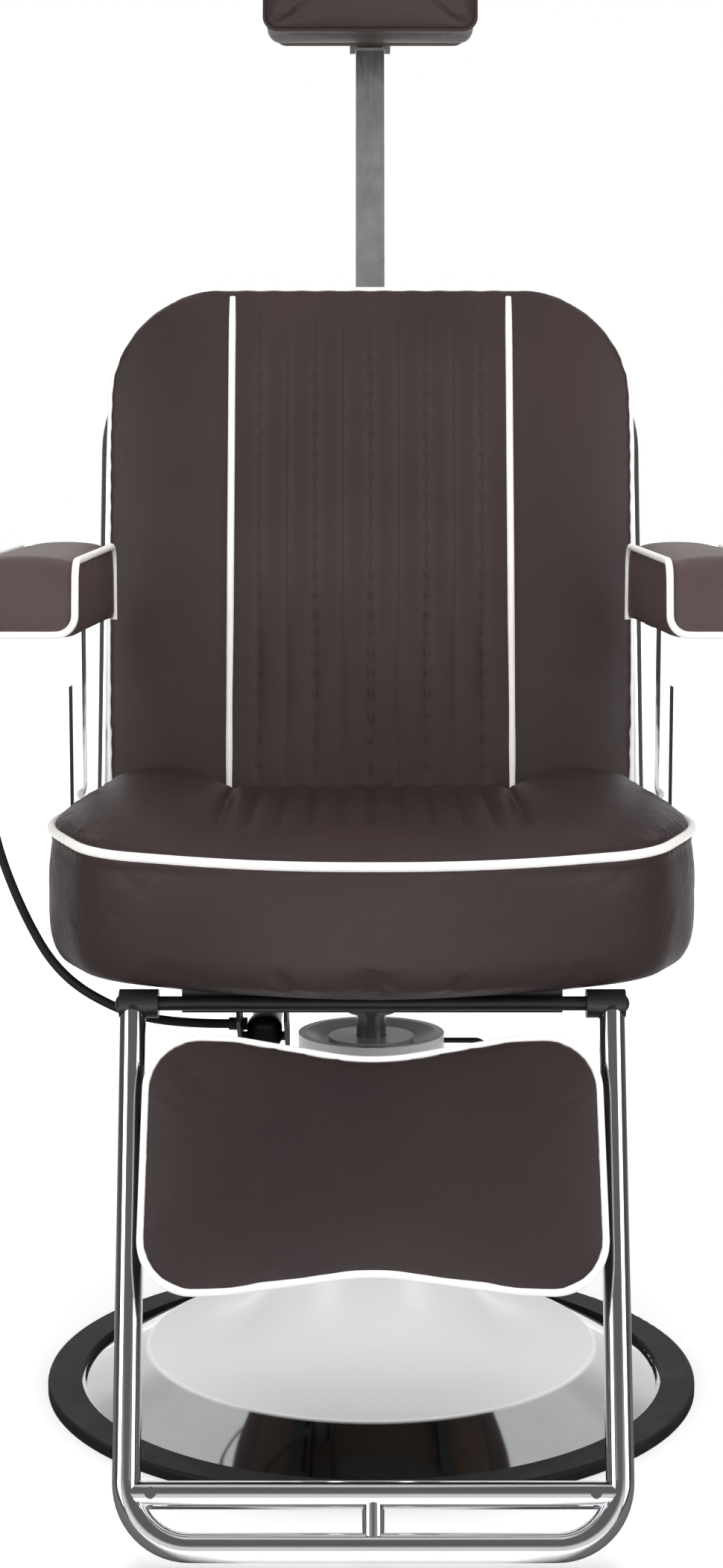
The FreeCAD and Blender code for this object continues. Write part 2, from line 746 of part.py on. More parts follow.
def make_arms():
    pad_inner = arm_inner
    pad_outer = arm_inner + arm_width
    pad = padding(arm_outline(), arm_radii(), pad_inner, pad_outer, arm_crown, arm_padding_shares,
                  lambda a, b, depth: V(depth, a, b))
    floor = block(pad_inner - overrun, pad_outer + overrun, -arm_front - overrun * 3.0,
                  arm_rear + overrun * 3.0, arm_underside - arm_crown * 4.0, arm_underside)
    pad = pad.cut(floor)
    board = block(pad_inner + arm_board_inset, pad_outer - arm_board_inset, -arm_front + arm_board_end,
                  arm_rear - arm_board_end, arm_underside, arm_underside + arm_board_thickness)
    piping = tube_along(arm_piping_wire(pad_inner + arm_piping_inset, pad_outer - arm_piping_inset),
                        arm_piping_radius)
    pad = pad.cut(board).cut(piping)

    post_inner = post_outer - post_thickness
    plate_bottom_z = arm_underside - arm_plate_thickness
    plate = block(post_inner - post_thickness, post_outer + post_thickness * 2.0, post_y - arm_plate_half,
                  post_y + arm_plate_half, plate_bottom_z, arm_underside)
    across = (post_inner + post_outer) / 2.0
    foot_z = frame_top - post_thickness / 2.0
    path = [V(across, post_y, plate_bottom_z), V(across, post_y, foot_z), V(rail_half, post_y, foot_z)]
    post = flat_tube_along(rounded_wire(path, [post_bend]))
    trim = block(post_outer, post_outer + trim_thickness, post_y - post_depth / 2.0 + trim_inset,
                 post_y + post_depth / 2.0 - trim_inset, trim_bottom, trim_top)
    post = fused([post, plate])
    save("arm_posts", post, mirrored(post))
    save("arm_post_trims", trim, mirrored(trim))
    save("arm_boards", board, mirrored(board))
    save("arm_pads", pad, mirrored(pad))
    save("arm_piping", piping, mirrored(piping))


def flat_tube_along(wire):
    """a flat rectangular tube along a bent path, its broad side facing the seat"""
    start = wire.OrderedEdges[0].valueAt(wire.OrderedEdges[0].FirstParameter)

    def swept(inset):
        half_a = post_thickness / 2.0 - inset
        half_b = post_depth / 2.0 - inset
        corners = [start + V(-half_a, -half_b, 0), start + V(half_a, -half_b, 0),
                   start + V(half_a, half_b, 0), start + V(-half_a, half_b, 0)]
        return wire.makePipeShell([Part.makePolygon(corners + corners[:1])], True, False)

    solid = swept(0)
    if solid.Volume < 0:
        solid.reverse()
    return solid.cut(swept(post_wall))


# Backrest, in an upright frame with its pivot at the origin and the sitter at -Y
hoop_top = 575.0
hoop_bend = 125.0
upper_bar_height = 430.0
middle_bar_height = 150.0
tail_bar_height = 45.0
recline_deg = 40.0
tail_length = 76.0
tail_half_width = 4.0
tail_bar_half = 10.0
tail_pin_radius = 4.0
spring_x = -93.0
back_board_inset = 12.0
back_panel_half = 138.0
back_waist_share = 0.735
back_foot_draw = 4.0
back_waist_swell = 1.5
back_top_draw = 2.0
back_crown = 5.0
back_draw = 9.0
back_piping_depth = 15.0
back_piping_inset = 3.0
back_seam_radii = (300.0, 2000.0, 300.0)
# shares of the padding's depth and of the most that its boxing draws in
back_boxing_shares = ((0.0, 1.0), (0.18, 0.22), (0.52, 0.0), (0.79, 0.22), (1.18, 0.78))
# shares of the back's height
back_place_shares = (-0.023, 0.075, 0.47, 0.887, 1.023)
# for each, the depths of side, bolster, seam and ridge as shares of the crown
back_crown_shares = ((-3.6, -1.4, -2.0, -1.7), (-3.4, 0.4, -0.8, -0.1), (-3.4, 1.0, -0.6, 0.2),
                     (-3.4, 0.4, -0.8, -0.1), (-3.6, -1.6, -2.2, -1.9))
back_seam_shares = ((0.02, -1.6), (0.11, -0.5), (0.47, -0.1), (0.89, -0.5), (0.977, -1.8))
back_screw_half = 120.0
back_radii = (30.0, 150.0, 115.0)


def back_outline():
    half = [(back_half_width - back_foot_draw, back_bottom),
            (back_half_width + back_waist_swell, back_top * back_waist_share),
            (back_half_width - back_top_draw, back_top)]
    return mirrored_points(half)


def facing(a, b, depth):
    return V(a, -depth, b)


def make_back():
    board_back = frame_tube_radius
    board_face = board_back + board_thickness
    hoop_path = [V(-upright_half, 0, 0), V(-upright_half, 0, hoop_top), V(upright_half, 0, hoop_top),
                 V(upright_half, 0, 0)]
    hoop = tube_along(rounded_wire(hoop_path, [hoop_bend, hoop_bend]), frame_tube_radius, frame_tube_wall)
    solid_hoop = tube_along(rounded_wire(hoop_path, [hoop_bend, hoop_bend]), frame_tube_radius)
    lug_outer = rear_bar_half + lug_thickness
    bosses = []
    for side in SIDES:
        inner = V(side * (lug_outer + running_gap), 0, 0)
        outer = V(side * (upright_half + frame_tube_radius), 0, 0)
        bosses.append(rod(inner, outer, boss_radius))
    hoop = fused([hoop] + bosses)
    bore_end = V(upright_half + boss_radius * 2.0, 0, 0)
    bore = rod(-bore_end, bore_end, hinge_pin_radius + pin_gap)
    save("back_hoop", on_back(hoop.cut(bore)))

    bars = []
    for height in (tail_bar_height, middle_bar_height, upper_bar_height):
        left = V(-upright_half, 0, height)
        right = V(upright_half, 0, height)
        bar = rod(left, right, frame_tube_radius).cut(rod(left, right, frame_tube_radius - frame_tube_wall))
        bars.append(bar.cut(solid_hoop).Solids[0])

    lean = math.radians(recline_deg / 2.0 + back_tilt_deg)
    tail_pin = V(spring_x, tail_length * math.sin(lean), -tail_length * math.cos(lean))
    tail_root = V(spring_x, 0, tail_bar_height)
    half = V(tail_half_width, 0, 0)
    along = (tail_pin - tail_root).normalize()
    across = X_AXIS.cross(along) * tail_bar_half
    corners = [tail_root - half + across, tail_pin - half + across,
               tail_pin - half - across, tail_root - half - across]
    tail = Part.Face(Part.makePolygon(corners + corners[:1])).extrude(half * 2.0)
    tail = fused([tail, rod(tail_pin - half, tail_pin + half, tail_bar_half)])
    tail = tail.cut(rod(tail_root - half * 2.0, tail_root + half * 2.0, frame_tube_radius))
    reach = V(fork_half, 0, 0)
    pin = rod(tail_pin - reach, tail_pin + reach, tail_pin_radius)
    tail = fused([tail, pin])

    board = padded_block(back_outline(), back_corner_radii(), [
        (board_back, back_board_inset), (board_face, back_board_inset)], facing)
    screws = []
    for side in SIDES:
        for height in (middle_bar_height, upper_bar_height):
            spot = V(side * back_screw_half, 0, height)
            shank = rod(spot + V(0, board_back, 0), spot - V(0, board_face - running_gap, 0), screw_radius)
            head = rod(spot + V(0, board_back, 0), spot + V(0, board_back + screw_head_height, 0),
                       screw_head_radius)
            screws.append(shank.fuse(head).removeSplitter())
    for screw in screws:
        board = board.cut(screw)
        bars = [bar.cut(screw) for bar in bars]
    bars[0] = fused([bars[0], tail])
    save("back_cross_bars", *[on_back(bar) for bar in bars])
    save("back_board", on_back(board))
    save("back_screws", *[on_back(screw) for screw in screws])

    boxing = padding(back_outline(), back_corner_radii(), board_face, back_depth, back_draw,
                     back_boxing_shares, facing)
    stations = crown_stations(back_bottom, back_top, back_depth, back_crown,
                              back_place_shares, back_crown_shares)
    crown = channelled_block(back_half_width + frame_tube_radius * 2.0, back_panel_half, 0, stations,
                             lambda a, b, along: V(a, -b, along))
    cushion = boxing.common(crown)
    edge = [facing(a, b, back_depth - back_piping_depth)
            for a, b in drawn_in(back_outline(), back_piping_inset)]
    piping = tube_along(rounded_wire(edge, back_corner_radii(), True), back_piping_radius)
    seams = []
    for side in SIDES:
        line = [facing(side * back_panel_half, between(back_bottom, back_top, place),
                       back_depth + back_crown * rise) for place, rise in back_seam_shares]
        seams.append(tube_along(rounded_wire(line, back_seam_radii), back_piping_radius))
    cushion = cushion.cut(piping)
    for seam in seams:
        cushion = cushion.cut(seam)
    save("back_cushion", on_back(cushion))
    save("back_piping", on_back(piping), *[on_back(seam) for seam in seams])


def back_corner_radii():
    right = list(back_radii)
    return right + list(reversed(right))


# Headrest, its post and the sleeve on the hoop
sleeve_plate_thickness = 3.0
sleeve_plate_half = 30.0
sleeve_wall = 2.5
sleeve_bottom = 490.0
sleeve_top = 560.0
post_bar_half = 15.0
post_bar_thickness = 8.0
post_bar_bottom = 460.0
tilt_rise = 20.0
tilt_height = headrest_bottom + tilt_rise
tilt_eye_radius = 9.0
tilt_pin_radius = 4.0
tilt_ear_thickness = 6.0
bracket_half = 21.0
bracket_thickness = 4.0
bracket_drop = 12.5
bracket_rise = 34.0
bracket_foot_half = 13.5
headrest_board_thickness = 10.0
headrest_back = 4.0
headrest_front = 78.0
headrest_corner = 14.0
headrest_board_inset = 8.0
headrest_welt_radius = 2.0
headrest_welt_depth = 18.0
headrest_welt_inset = 0.5
headrest_draw = 12.5
headrest_padding_shares = ((0.0, 0.32), (0.125, 0.08), (0.34, 0.0), (0.72, 0.04), (0.83, 0.24), (0.94, 0.64),
                           (1.0, 1.0))
knob_radius = 17.0
knob_stem_radius = 4.0
knob_height = 18.0
knob_lobes = 6
knob_lobe_radius = 5.0


def headrest_outline():
    return [(-headrest_half_width, headrest_bottom), (headrest_half_width, headrest_bottom),
            (headrest_half_width, headrest_bottom + headrest_height),
            (-headrest_half_width, headrest_bottom + headrest_height)]


def make_headrest():
    plate_rear = frame_tube_radius + sleeve_plate_thickness
    post_front = plate_rear + sleeve_wall + running_gap
    post_rear = post_front + post_bar_thickness
    plate = block(-sleeve_plate_half, sleeve_plate_half, frame_tube_radius, plate_rear,
                  upper_bar_height - frame_tube_radius, hoop_top + frame_tube_radius / 2.0)
    sleeve_half = post_bar_half + running_gap + sleeve_wall
    sleeve_rear = post_rear + running_gap + sleeve_wall
    sleeve = block(-sleeve_half, sleeve_half, plate_rear, sleeve_rear, sleeve_bottom, sleeve_top)
    sleeve = sleeve.cut(block(-post_bar_half - running_gap, post_bar_half + running_gap,
                              post_front - running_gap, post_rear + running_gap,
                              sleeve_bottom - overrun, sleeve_top + overrun))
    knob_z = (sleeve_bottom + sleeve_top) / 2.0
    stem_front = V(0, post_rear + running_gap, knob_z)
    stem_rear = V(0, sleeve_rear + knob_height, knob_z)
    stem_hole = rod(stem_front - V(0, running_gap, 0), stem_rear, knob_stem_radius + pin_gap)
    holder = fused([plate, sleeve]).cut(stem_hole)
    save("headrest_sleeve", on_back(holder))
    stem = rod(stem_front, stem_rear, knob_stem_radius)
    grip_front = sleeve_rear + running_gap
    grip = rod(V(0, grip_front, knob_z), V(0, grip_front + knob_height, knob_z), knob_radius)
    for spot in around(knob_radius, knob_lobes, 30.0):
        centre = V(spot.x, grip_front, knob_z + spot.y)
        grip = grip.cut(rod(centre - V(0, overrun, 0), centre + V(0, knob_height + overrun, 0),
                            knob_lobe_radius))
    save("headrest_knob", on_back(fused([stem, grip])))

    pin_y = (post_front + post_rear) / 2.0
    tilt_pin_spot = V(0, pin_y, tilt_height)
    half = V(post_bar_half, 0, 0)
    bar = block(-post_bar_half, post_bar_half, post_front, post_rear, post_bar_bottom, tilt_height)
    eye = rod(tilt_pin_spot - half, tilt_pin_spot + half, tilt_eye_radius)
    reach = V(post_bar_half + running_gap + tilt_ear_thickness, 0, 0)
    pin = rod(tilt_pin_spot - reach, tilt_pin_spot + reach, tilt_pin_radius)
    pin_hole = rod(tilt_pin_spot - reach, tilt_pin_spot + reach, tilt_pin_radius + pin_gap)
    save("headrest_post", on_back(fused([bar, eye]).cut(pin_hole)))

    plate_back = -headrest_back + bracket_thickness
    shape = mirrored_points([(bracket_foot_half, tilt_height - bracket_drop), (bracket_half, tilt_height),
                             (bracket_half, tilt_height + bracket_rise)])
    corners = [V(a, plate_back, b) for a, b in shape]
    face = Part.Face(Part.makePolygon(corners + corners[:1]))
    pieces = [face.extrude(V(0, -bracket_thickness, 0))]
    for side in SIDES:
        inner = side * (post_bar_half + running_gap)
        low_x = min(inner, inner + side * tilt_ear_thickness)
        spot = V(low_x, pin_y, tilt_height)
        pieces.append(rod(spot, spot + V(tilt_ear_thickness, 0, 0), tilt_eye_radius))
        pieces.append(block(low_x, low_x + tilt_ear_thickness, plate_back - overrun / 2.0, pin_y,
                            tilt_height - tilt_eye_radius, tilt_height + tilt_eye_radius))
    save("headrest_bracket", on_back(fused(pieces + [pin])))

    board_face = headrest_back + headrest_board_thickness
    board = padded_block(headrest_outline(), [headrest_corner] * 4, [
        (headrest_back, headrest_board_inset), (board_face, headrest_board_inset)], facing)
    save("headrest_board", on_back(board))
    pad = padding(headrest_outline(), [headrest_corner] * 4, board_face, headrest_front, headrest_draw,
                  headrest_padding_shares, facing)
    rim = [facing(a, b, headrest_front - headrest_welt_depth)
           for a, b in drawn_in(headrest_outline(), headrest_welt_inset)]
    piping = tube_along(rounded_wire(rim, [headrest_corner] * 4, True), headrest_welt_radius)
    save("headrest_pad", on_back(pad.cut(piping)))
    save("headrest_piping", on_back(piping))


# Footrest, in an upright frame with its pivot at the origin
footrest_taper = 11.0
footrest_bottom_half = footrest_top_half - footrest_taper
footrest_bend = 50.0
knuckle_radius = 12.0
knuckle_reach = 21.5
knuckle_inner = footrest_top_half - knuckle_reach
tread_rise = 39.0
tread_drop = footrest_length - tread_rise
tread_radius = 10.6
strut_radius = 8.5
strap_width = 25.0
strap_thickness = 4.0
strap_drops = (95.0, 190.0)
calf_side_gap = 15.5
calf_half_width = footrest_top_half - calf_side_gap
calf_top = 38.0
calf_bottom = 250.0
calf_top_dip = 23.0
calf_bottom_rise = 18.0
calf_shoulder_share = 0.625
calf_board_inset = 16.0
calf_back = 5.0
calf_front = 42.0
calf_shoulder_bow = 2.5
calf_draw = 28.0
calf_piping_depth = 13.0
calf_piping_inset = 1.0
calf_radii = (42.0, 150.0, 200.0)
calf_padding_shares = ((0.0, 0.46), (0.22, 0.14), (0.49, 0.02), (0.65, 0.02), (0.81, 0.18), (0.92, 0.5),
                       (1.0, 1.0))
tread_bolt_radius = 4.5
tread_bolt_height = 2.5
tread_bolt_inset = 29.5


def calf_outline():
    shoulder_half = calf_half_width * calf_shoulder_share
    half = [(0.0, -calf_bottom + calf_bottom_rise), (shoulder_half, -calf_bottom + calf_shoulder_bow),
            (calf_half_width, -calf_bottom), (calf_half_width, -calf_top),
            (shoulder_half, -calf_top - calf_shoulder_bow), (0.0, -calf_top - calf_top_dip)]
    return mirrored_points(half)


def calf_corner_radii():
    corner, shoulder, dip = calf_radii
    return [dip, shoulder, corner, corner, shoulder, dip, shoulder, corner, corner, shoulder]


def make_footrest():
    path = [V(-footrest_top_half, 0, 0), V(-footrest_bottom_half, 0, -footrest_length),
            V(footrest_bottom_half, 0, -footrest_length), V(footrest_top_half, 0, 0)]
    wire = rounded_wire(path, [footrest_bend, footrest_bend])
    solid_loop = tube_along(wire, frame_tube_radius)
    loop = tube_along(wire, frame_tube_radius, frame_tube_wall)
    knuckles = []
    bore = rod(V(-axle_half - overrun, 0, 0), V(axle_half + overrun, 0, 0), axle_radius + pin_gap)
    for side in SIDES:
        knuckles.append(rod(V(side * knuckle_inner, 0, 0), V(side * (axle_half - running_gap), 0, 0),
                            knuckle_radius))
    loop = fused([loop] + knuckles).cut(bore)
    save("footrest_tube", on_footrest(loop))

    tread = rod(V(-footrest_top_half, 0, -tread_drop), V(footrest_top_half, 0, -tread_drop), tread_radius)
    solid_tread = tread.cut(solid_loop).Solids
    solid_tread = min(solid_tread, key=lambda solid: abs(solid.CenterOfMass.x))
    hollow = rod(V(-footrest_top_half, 0, -tread_drop), V(footrest_top_half, 0, -tread_drop),
                 tread_radius - frame_tube_wall)
    strut = rod(V(0, 0, -tread_drop), V(0, 0, -footrest_length), strut_radius)
    bolts = []
    for side in SIDES:
        spot = V(side * (footrest_top_half - tread_bolt_inset), -tread_radius, -tread_drop)
        bolts.append(rod(spot + V(0, tread_bolt_height, 0), spot - V(0, tread_bolt_height, 0),
                         tread_bolt_radius))
    shell = solid_tread.cut(hollow)
    for bolt in bolts:
        shell = shell.cut(bolt)
    shell = max(shell.Solids, key=lambda solid: solid.Volume)
    save("footrest_tread", on_footrest(fused([shell, strut.cut(solid_tread).cut(solid_loop)])))
    save("tread_bolts", *[on_footrest(bolt) for bolt in bolts])

    strap_back = -calf_back + board_thickness
    straps = []
    for drop in strap_drops:
        strap = block(-footrest_top_half, footrest_top_half, strap_back, strap_back + strap_thickness,
                      -drop - strap_width / 2.0, -drop + strap_width / 2.0).cut(solid_loop)
        straps.append(min(strap.Solids, key=lambda solid: abs(solid.CenterOfMass.x)))
    board_face = calf_back
    board_back = calf_back - board_thickness
    board = padded_block(calf_outline(), calf_corner_radii(), [
        (board_back, calf_board_inset), (board_face, calf_board_inset)], facing)
    save("calf_straps", *[on_footrest(strap) for strap in straps])
    save("calf_board", on_footrest(board))
    pad = padding(calf_outline(), calf_corner_radii(), board_face, calf_front, calf_draw,
                  calf_padding_shares, facing)
    rim = [facing(a, b, calf_front - calf_piping_depth)
           for a, b in drawn_in(calf_outline(), calf_piping_inset)]
    piping = tube_along(rounded_wire(rim, calf_corner_radii(), True), back_piping_radius)
    save("calf_pad", on_footrest(pad.cut(piping)))
    save("calf_piping", on_footrest(piping))


# Recline lock: gas spring under the seat, its bracket and its release cable
spring_height = back_pivot_z - tail_length * math.cos(math.radians(recline_deg / 2.0))
spring_head_y = -126.0
spring_head_half = 14.0
spring_head_width = 15.0
spring_head_round = 0.7
spring_bracket_gap = 3.5
spring_radius = 13.0
spring_bore = 10.5
spring_rear = 100.0
spring_end_wall = 15.0
spring_rod_radius = 5.0
spring_rod_inner = 18.0
spring_piston = 12.0
fork_half = 12.0
fork_cheek = 6.0
fork_height = 28.0
fork_root = 10.0
fork_slot_gap = 0.5
fork_low_share = 0.58
bracket_plate = 3.0
spring_pin_radius = 4.0
spring_pin_share = 0.3
gland_length = 16.0
gland_offset_y = 7.0
gland_offset_z = 5.0
cable_radius = 4.0
cable_gland_radius = 5.5
lever_x = -350.0
lever_pivot_y = -60.0
lever_drop = 14.0
lever_pivot_z = arm_underside - lever_drop
lever_length = 104.0
lever_droop_deg = 20.0
lever_thickness = 5.0
lever_bar = 14.0
lever_cheek = 3.0
lever_pin_radius = 3.0
lever_gap = 0.5
grip_start_share = 0.38
grip_overhang = 5.6
grip_radius = 8.7
lever_plate_inner = -282.0


def make_spring():
    centre = V(spring_x, 0, spring_height)
    head_front = spring_head_y - spring_head_half
    head_rear = spring_head_y + spring_head_half
    head = block(spring_x - spring_head_width, spring_x + spring_head_width, head_front, head_rear,
                 spring_height - spring_head_half, spring_height + spring_head_half)
    head = head.makeFillet(spring_head_half * spring_head_round, head.Edges)
    body = rod(centre + V(0, head_rear - overrun, 0), centre + V(0, spring_rear, 0), spring_radius)
    spring = fused([head, body])
    spring = spring.cut(rod(centre + V(0, head_rear + spring_end_wall, 0),
                            centre + V(0, spring_rear - spring_end_wall, 0), spring_bore))
    spring = spring.cut(rod(centre + V(0, spring_rear - spring_end_wall - overrun, 0),
                            centre + V(0, spring_rear + overrun, 0), spring_rod_radius + pin_gap))
    reach = V(spring_head_width + spring_bracket_gap + bracket_plate, 0, 0)
    pin_spot = V(spring_x, spring_head_y, spring_height - spring_head_half * spring_pin_share)
    pin = rod(pin_spot - reach, pin_spot + reach, spring_pin_radius)
    plates = []
    for side in SIDES:
        inner = spring_x + side * (spring_head_width + spring_bracket_gap)
        low_x = min(inner, inner + side * bracket_plate)
        front = front_bar_front + bar_width / 2.0
        rear = front_bar_front + front_bar_depth
        low = spring_height - spring_head_half
        corners = [V(low_x, front, frame_bottom), V(low_x, rear, frame_bottom),
                   V(low_x, head_rear, spring_height), V(low_x, head_rear, low),
                   V(low_x, head_front, low), V(low_x, front, frame_bottom - bar_height / 2.0)]
        plates.append(Part.Face(Part.makePolygon(corners + corners[:1])).extrude(V(bracket_plate, 0, 0)))
    gland_spot = V(spring_x - spring_head_width - running_gap, spring_head_y + gland_offset_y,
                   spring_height + gland_offset_z)
    gland = rod(gland_spot, gland_spot - V(gland_length, 0, 0), cable_gland_radius)
    plates = [plate.cut(pin).cut(gland) for plate in plates]
    save("gas_spring", fused([spring, pin]))
    save("spring_bracket", *plates)

    tail_y = back_pivot_y + tail_length * math.sin(math.radians(recline_deg / 2.0))
    fork_front = tail_y - tail_bar_half - fork_root - fork_slot_gap * 4.0
    rod_start = centre + V(0, spring_rod_inner, 0)
    shaft = rod(rod_start, centre + V(0, fork_front, 0), spring_rod_radius)
    piston = rod(rod_start, rod_start + V(0, spring_piston, 0), spring_bore - pin_gap * 2.0)
    low = spring_height - fork_height * fork_low_share
    fork = block(spring_x - fork_half, spring_x + fork_half,
                 fork_front, tail_y + tail_bar_half + fork_slot_gap, low, low + fork_height)
    gap = fork_half - fork_cheek
    fork = fork.cut(block(spring_x - gap, spring_x + gap,
                          fork_front + fork_root, tail_y + tail_bar_half + overrun,
                          low - overrun, low + fork_height + overrun))
    sag = tail_length * (1.0 - math.cos(math.radians(recline_deg / 2.0)))
    slot_half = tail_pin_radius + fork_slot_gap
    fork = fork.cut(block(spring_x - fork_half - overrun, spring_x + fork_half + overrun,
                          tail_y - slot_half, tail_y + slot_half,
                          spring_height - sag - slot_half, spring_height + slot_half))
    save("spring_rod", fused([shaft, piston, fork]))
    return gland


def make_lever():
    pivot = V(lever_x, lever_pivot_y, lever_pivot_z)
    half = V(lever_thickness / 2.0, 0, 0)
    droop = math.radians(lever_droop_deg)
    tip = pivot + V(0, -math.cos(droop), -math.sin(droop)) * lever_length
    along = (tip - pivot).normalize()
    across = X_AXIS.cross(along) * (lever_bar / 2.0)
    corners = [pivot - half + across, tip - half + across, tip - half - across, pivot - half - across]
    bar = Part.Face(Part.makePolygon(corners + corners[:1])).extrude(half * 2.0)
    ends = [rod(pivot - half, pivot + half, lever_bar / 2.0), rod(tip - half, tip + half, lever_bar / 2.0)]
    grip_start = pivot + along * (lever_length * grip_start_share)
    grip = rod(grip_start, tip + along * grip_overhang, grip_radius)
    lever = fused([bar] + ends)
    reach = half + V(lever_gap + lever_cheek, 0, 0)
    pin = rod(pivot - reach, pivot + reach, lever_pin_radius)
    hole = rod(pivot - reach, pivot + reach, lever_pin_radius + pin_gap)
    save("recline_lever", lever.cut(hole))
    save("lever_grip", grip.cut(lever))
    pieces = []
    rear = lever_pivot_y + lever_bar + gland_length / 2.0
    for side in SIDES:
        inner = lever_x + side * (lever_thickness / 2.0 + lever_gap)
        low_x = min(inner, inner + side * lever_cheek)
        pieces.append(block(low_x, low_x + lever_cheek, lever_pivot_y - lever_bar / 2.0, rear,
                            lever_pivot_z - lever_bar / 2.0, arm_underside - lever_cheek / 2.0))
    reach_x = lever_thickness / 2.0 + lever_gap + lever_cheek
    pieces.append(block(lever_x - reach_x, lever_x + reach_x, rear, rear + lever_cheek,
                        lever_pivot_z - lever_bar / 2.0, arm_underside - lever_cheek / 2.0))
    pieces.append(block(lever_x - reach_x, lever_plate_inner,
                        lever_pivot_y - lever_bar / 2.0, rear + lever_cheek,
                        arm_underside - lever_cheek, arm_underside))
    gland_spot = V(lever_x, rear, lever_pivot_z)
    gland = rod(gland_spot, gland_spot + V(0, gland_length, 0), cable_gland_radius)
    save("lever_bracket", fused(pieces + [pin]).cut(gland))
    return gland


def cable_wire(points):
    """runs and arcs as large as the runs allow"""
    radii = []
    for index in range(1, len(points) - 1):
        before = points[index - 1] - points[index]
        after = points[index + 1] - points[index]
        half_angle = before.getAngle(after) / 2.0
        radii.append(arc_share * min(before.Length, after.Length) * math.tan(half_angle))
    print("cable bend radii", [round(radius) for radius in radii])
    return rounded_wire(points, radii)


cable_route = [(0.0, 55.0, 0.0), (-3.0, 88.0, -60.0), (-4.0, 61.0, -122.0), (5.0, 17.0, -174.0),
               (38.0, -33.0, -239.0), (78.0, -89.0, -286.0), (135.0, -119.0, -312.0)]
cable_last_run = 42.0
arc_share = 0.45


def make_cable():
    """the release cable, free between the lever and the gas spring"""
    spring_gland = make_spring()
    lever_gland = make_lever()
    save("cable_glands", spring_gland, lever_gland)
    start = V(lever_x, lever_gland.BoundBox.YMax, lever_pivot_z)
    end = V(spring_gland.BoundBox.XMin, spring_head_y + gland_offset_y, spring_height + gland_offset_z)
    points = [start] + [start + V(*step) for step in cable_route]
    points += [end - V(cable_last_run, 0, 0), end]
    wire = cable_wire(points)
    cable = tube_along(wire, cable_radius)
    section = math.pi * cable_radius * cable_radius
    print("cable length", round(wire.Length, 1))
    print("volume by section", round(section * wire.Length), round(cable.Volume))
    save("release_cable", cable)


make_base()
make_ram()
make_seat_frame()
make_seat()
make_arms()
make_back()
make_headrest()
make_footrest()
make_cable()
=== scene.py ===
import math

import bpy
import numpy as np
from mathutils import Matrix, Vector
from mathutils.bvhtree import BVHTree


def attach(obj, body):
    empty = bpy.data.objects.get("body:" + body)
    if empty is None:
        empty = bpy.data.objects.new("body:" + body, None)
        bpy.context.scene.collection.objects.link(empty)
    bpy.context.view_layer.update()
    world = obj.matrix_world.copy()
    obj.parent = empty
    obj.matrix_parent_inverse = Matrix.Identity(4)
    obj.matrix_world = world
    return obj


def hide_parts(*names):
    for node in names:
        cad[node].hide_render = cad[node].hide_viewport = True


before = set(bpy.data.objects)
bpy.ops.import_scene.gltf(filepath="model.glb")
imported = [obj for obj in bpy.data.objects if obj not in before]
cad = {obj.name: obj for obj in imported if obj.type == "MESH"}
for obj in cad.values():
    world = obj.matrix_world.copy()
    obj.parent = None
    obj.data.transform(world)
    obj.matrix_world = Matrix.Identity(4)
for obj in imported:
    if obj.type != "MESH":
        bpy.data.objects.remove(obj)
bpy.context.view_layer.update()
scene = bpy.context.scene
scene.view_settings.view_transform = "Standard"
mm = 0.001


# Camera, as the photograph was taken
sensor_width = 36.0
lens_length = 55.86
camera_place = (-0.009, -2.2, 0.817)
camera_down = 6.72
level_view = 90.0
camera_reach = 200.0

camera_data = bpy.data.cameras.new("camera")
camera_data.sensor_width = sensor_width
camera_data.lens = lens_length
camera_data.clip_end = camera_reach
camera = bpy.data.objects.new("camera", camera_data)
camera.location = camera_place
camera.rotation_euler = (math.radians(level_view - camera_down), 0.0, 0.0)
scene.collection.objects.link(camera)
scene.camera = camera


# Colours, and the nodes of the materials
full_level = 255.0
dark_slope = 12.92
dark_end = 0.04045
curve_shift = 0.055
curve_power = 2.4
half = 0.5


def linear(red, green, blue):
    """a colour as it looks on a screen, 0 to 255, as the shader takes it"""
    shares = [level / full_level for level in (red, green, blue)]
    return tuple(share / dark_slope if share <= dark_end
                 else ((share + curve_shift) / (1.0 + curve_shift)) ** curve_power
                 for share in shares) + (1.0,)


def lighter(colour, step):
    """the same colour with each level raised by a step"""
    return linear(*[min(full_level, level + step) for level in colour])


